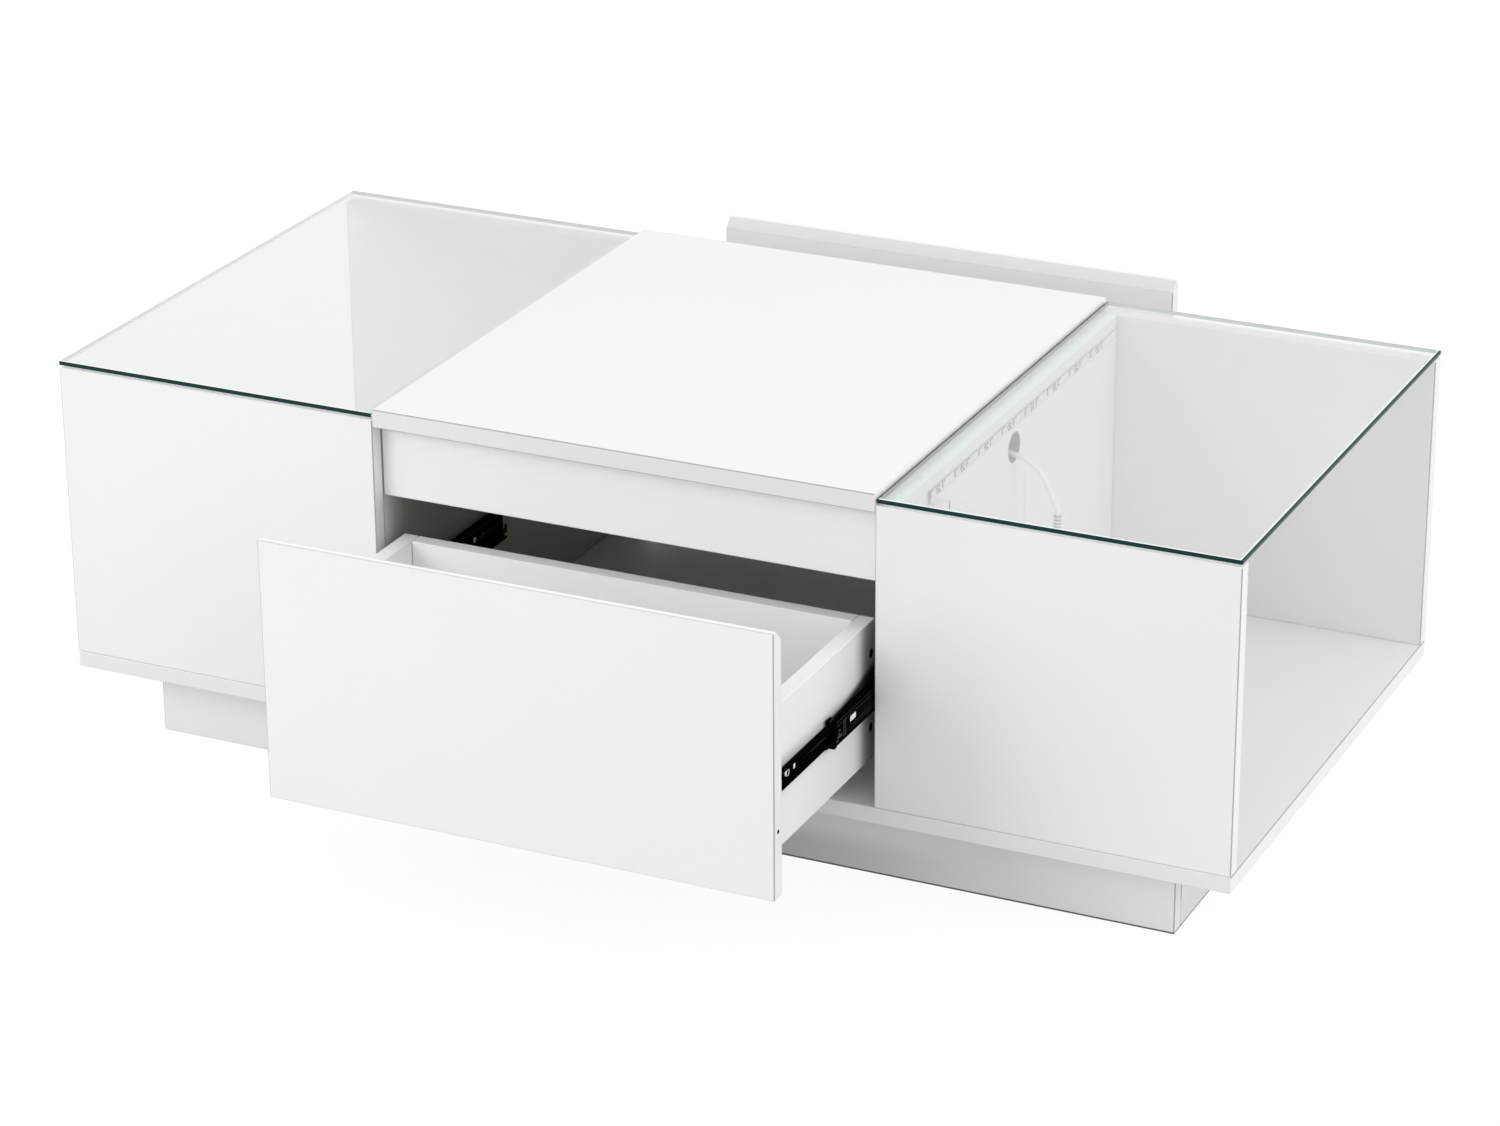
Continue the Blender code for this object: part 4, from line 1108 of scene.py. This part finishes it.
def lay_strips():
    finishes = {
        "ribbon": strip_ribbon(),
        "lamps": moulded("lamp_body", (0.90, 0.90, 0.89), (0.82, 0.82, 0.81), 0.0006, 0.35),
        "windows": led_window(),
        "chips": moulded("chip_ceramic", (0.060, 0.060, 0.062), (0.020, 0.020, 0.022), 0.0005, 0.3),
        "pads": zinc(),
        "legs": moulded("lamp_legs", (0.12, 0.12, 0.12), (0.05, 0.05, 0.05), 0.0005, 0.3),
    }
    for part, pattern in build_strip_parts().items():
        for hand_name, hand in HANDS.items():
            twin = copied(pattern, f"strip_{hand_name}_{part}", flip=(hand, 1, 1))
            fit(twin, "cabinet", finishes[part])
        throw_away(pattern)
    sleeve = strip_sleeve()
    for hand_name in HANDS:
        nodes["led_strip_" + hand_name].material_slots[0].material = sleeve


def fit_controller():
    """The case with a near-black strip of painted shade along one upright corner, a remote's eye in its side,
    and the tail that joins it to the strip.
    """
    shell = moulded("controller_shell", (0.84, 0.84, 0.835), (0.78, 0.78, 0.775))
    fit(refined("led_controller", "controller_case"), "cabinet", shell)
    low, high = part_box("led_controller")
    middle = middle_of("led_controller", 1)
    # Painted shade: a near-black strip along the case's upright corner.
    edge_shade = slab("controller_edge_shade", (high.x - 0.0006, high.y - 0.0012, low.z + 0.003),
                (high.x + 0.0002, high.y + 0.0002, high.z - 0.0012), 0.0002, 1)
    rubber = moulded("edge_shade_black", (0.06, 0.06, 0.06), (0.03, 0.03, 0.03))
    fit(edge_shade, "cabinet", rubber)
    eye = turned("controller_eye", (high.x, middle, high.z - 0.012),
                 [(-0.001, 0.0026), (0.0003, 0.0026), (0.0011, 0.0021), (0.0015, 0.0012)], 32, ALONG_X)
    red = moulded("eye_filter", (0.05, 0.012, 0.014), (0.03, 0.008, 0.010), 0.001, 0.08)
    fit(eye, "cabinet", red)
    tail = slab("strip_tail", (low.x + 0.0006, middle - 0.0040, high.z - 0.0015),
                (low.x + 0.0014, middle + 0.0040, side_of("led_strip_right", 2, -1) + 0.0012), 0.0002)
    fit(tail, "cabinet", lead_jacket())


def fit_driver():
    shell = moulded("driver_shell", (0.82, 0.82, 0.815), (0.75, 0.75, 0.745))
    fit(refined("led_driver", "driver_case"), "cabinet", shell)


lay_strips()
fit_controller()
fit_driver()


# ---------------------------------------------------------------- stage and light

def lay_floor():
    """Pale floor that shows white to the camera, in gloss and through glass, and keeps a soft shadow."""
    bpy.ops.mesh.primitive_plane_add(size=60, location=(0, 0, 0))
    floor = named("floor")
    finish = Finish("pale_floor")
    speck = finish.grain(0.02, 3.0)
    colour = finish.tint(speck, (0.58, 0.58, 0.58), (0.56, 0.56, 0.56))
    plain = finish.surface(colour, 1.0, Specular_IOR_Level=0.0)
    held = finish.node("BsdfDiffuse", {"Color": (0.09, 0.09, 0.09, 1)})
    glow = finish.node("Emission", {"Color": (1, 1, 1, 1), "Strength": 0.925})
    seen = finish.node("AddShader", {0: held, 1: glow})
    both = finish.node("MixShader", {0: finish.looked_at(), 1: plain, 2: seen})
    floor.data.materials.append(finish.shown(both))


def light_room():
    """Soft light from all round, and pure white wherever the room itself is looked at."""
    world = bpy.data.worlds.new("studio")
    bpy.context.scene.world = world
    room = Graph(world)
    soft = room.node("Background", {"Color": (1, 1, 1, 1), "Strength": 0.87})
    white = room.node("Background", {"Color": (1, 1, 1, 1), "Strength": 1.0})
    room.node("OutputWorld", {"Surface": room.node("MixShader", {0: room.looked_at(), 1: soft, 2: white})})


def hang_lamp(name, place, aim, width, watts):
    """A soft box that glass and lacquer don't mirror, so that the tops don't burn out from behind."""
    data = bpy.data.lights.new(name, "AREA")
    data.shape = "SQUARE"
    data.size = width
    data.energy = watts
    lamp = added(name, data)
    lamp.location = place
    lamp.rotation_euler = (Vector(aim) - Vector(place)).to_track_quat("-Z", "Y").to_euler()
    lamp.visible_glossy = False


lay_floor()
light_room()
hang_lamp("front_box", (-2.2, -3.4, 1.9), aim=(0, 0, 0.2), width=2.2, watts=53)
hang_lamp("right_box", (3.5, 0.0, 2.35), aim=(0.3, 0, 0.3), width=2.2, watts=42)

bpy.context.scene.view_settings.view_transform = "Standard"
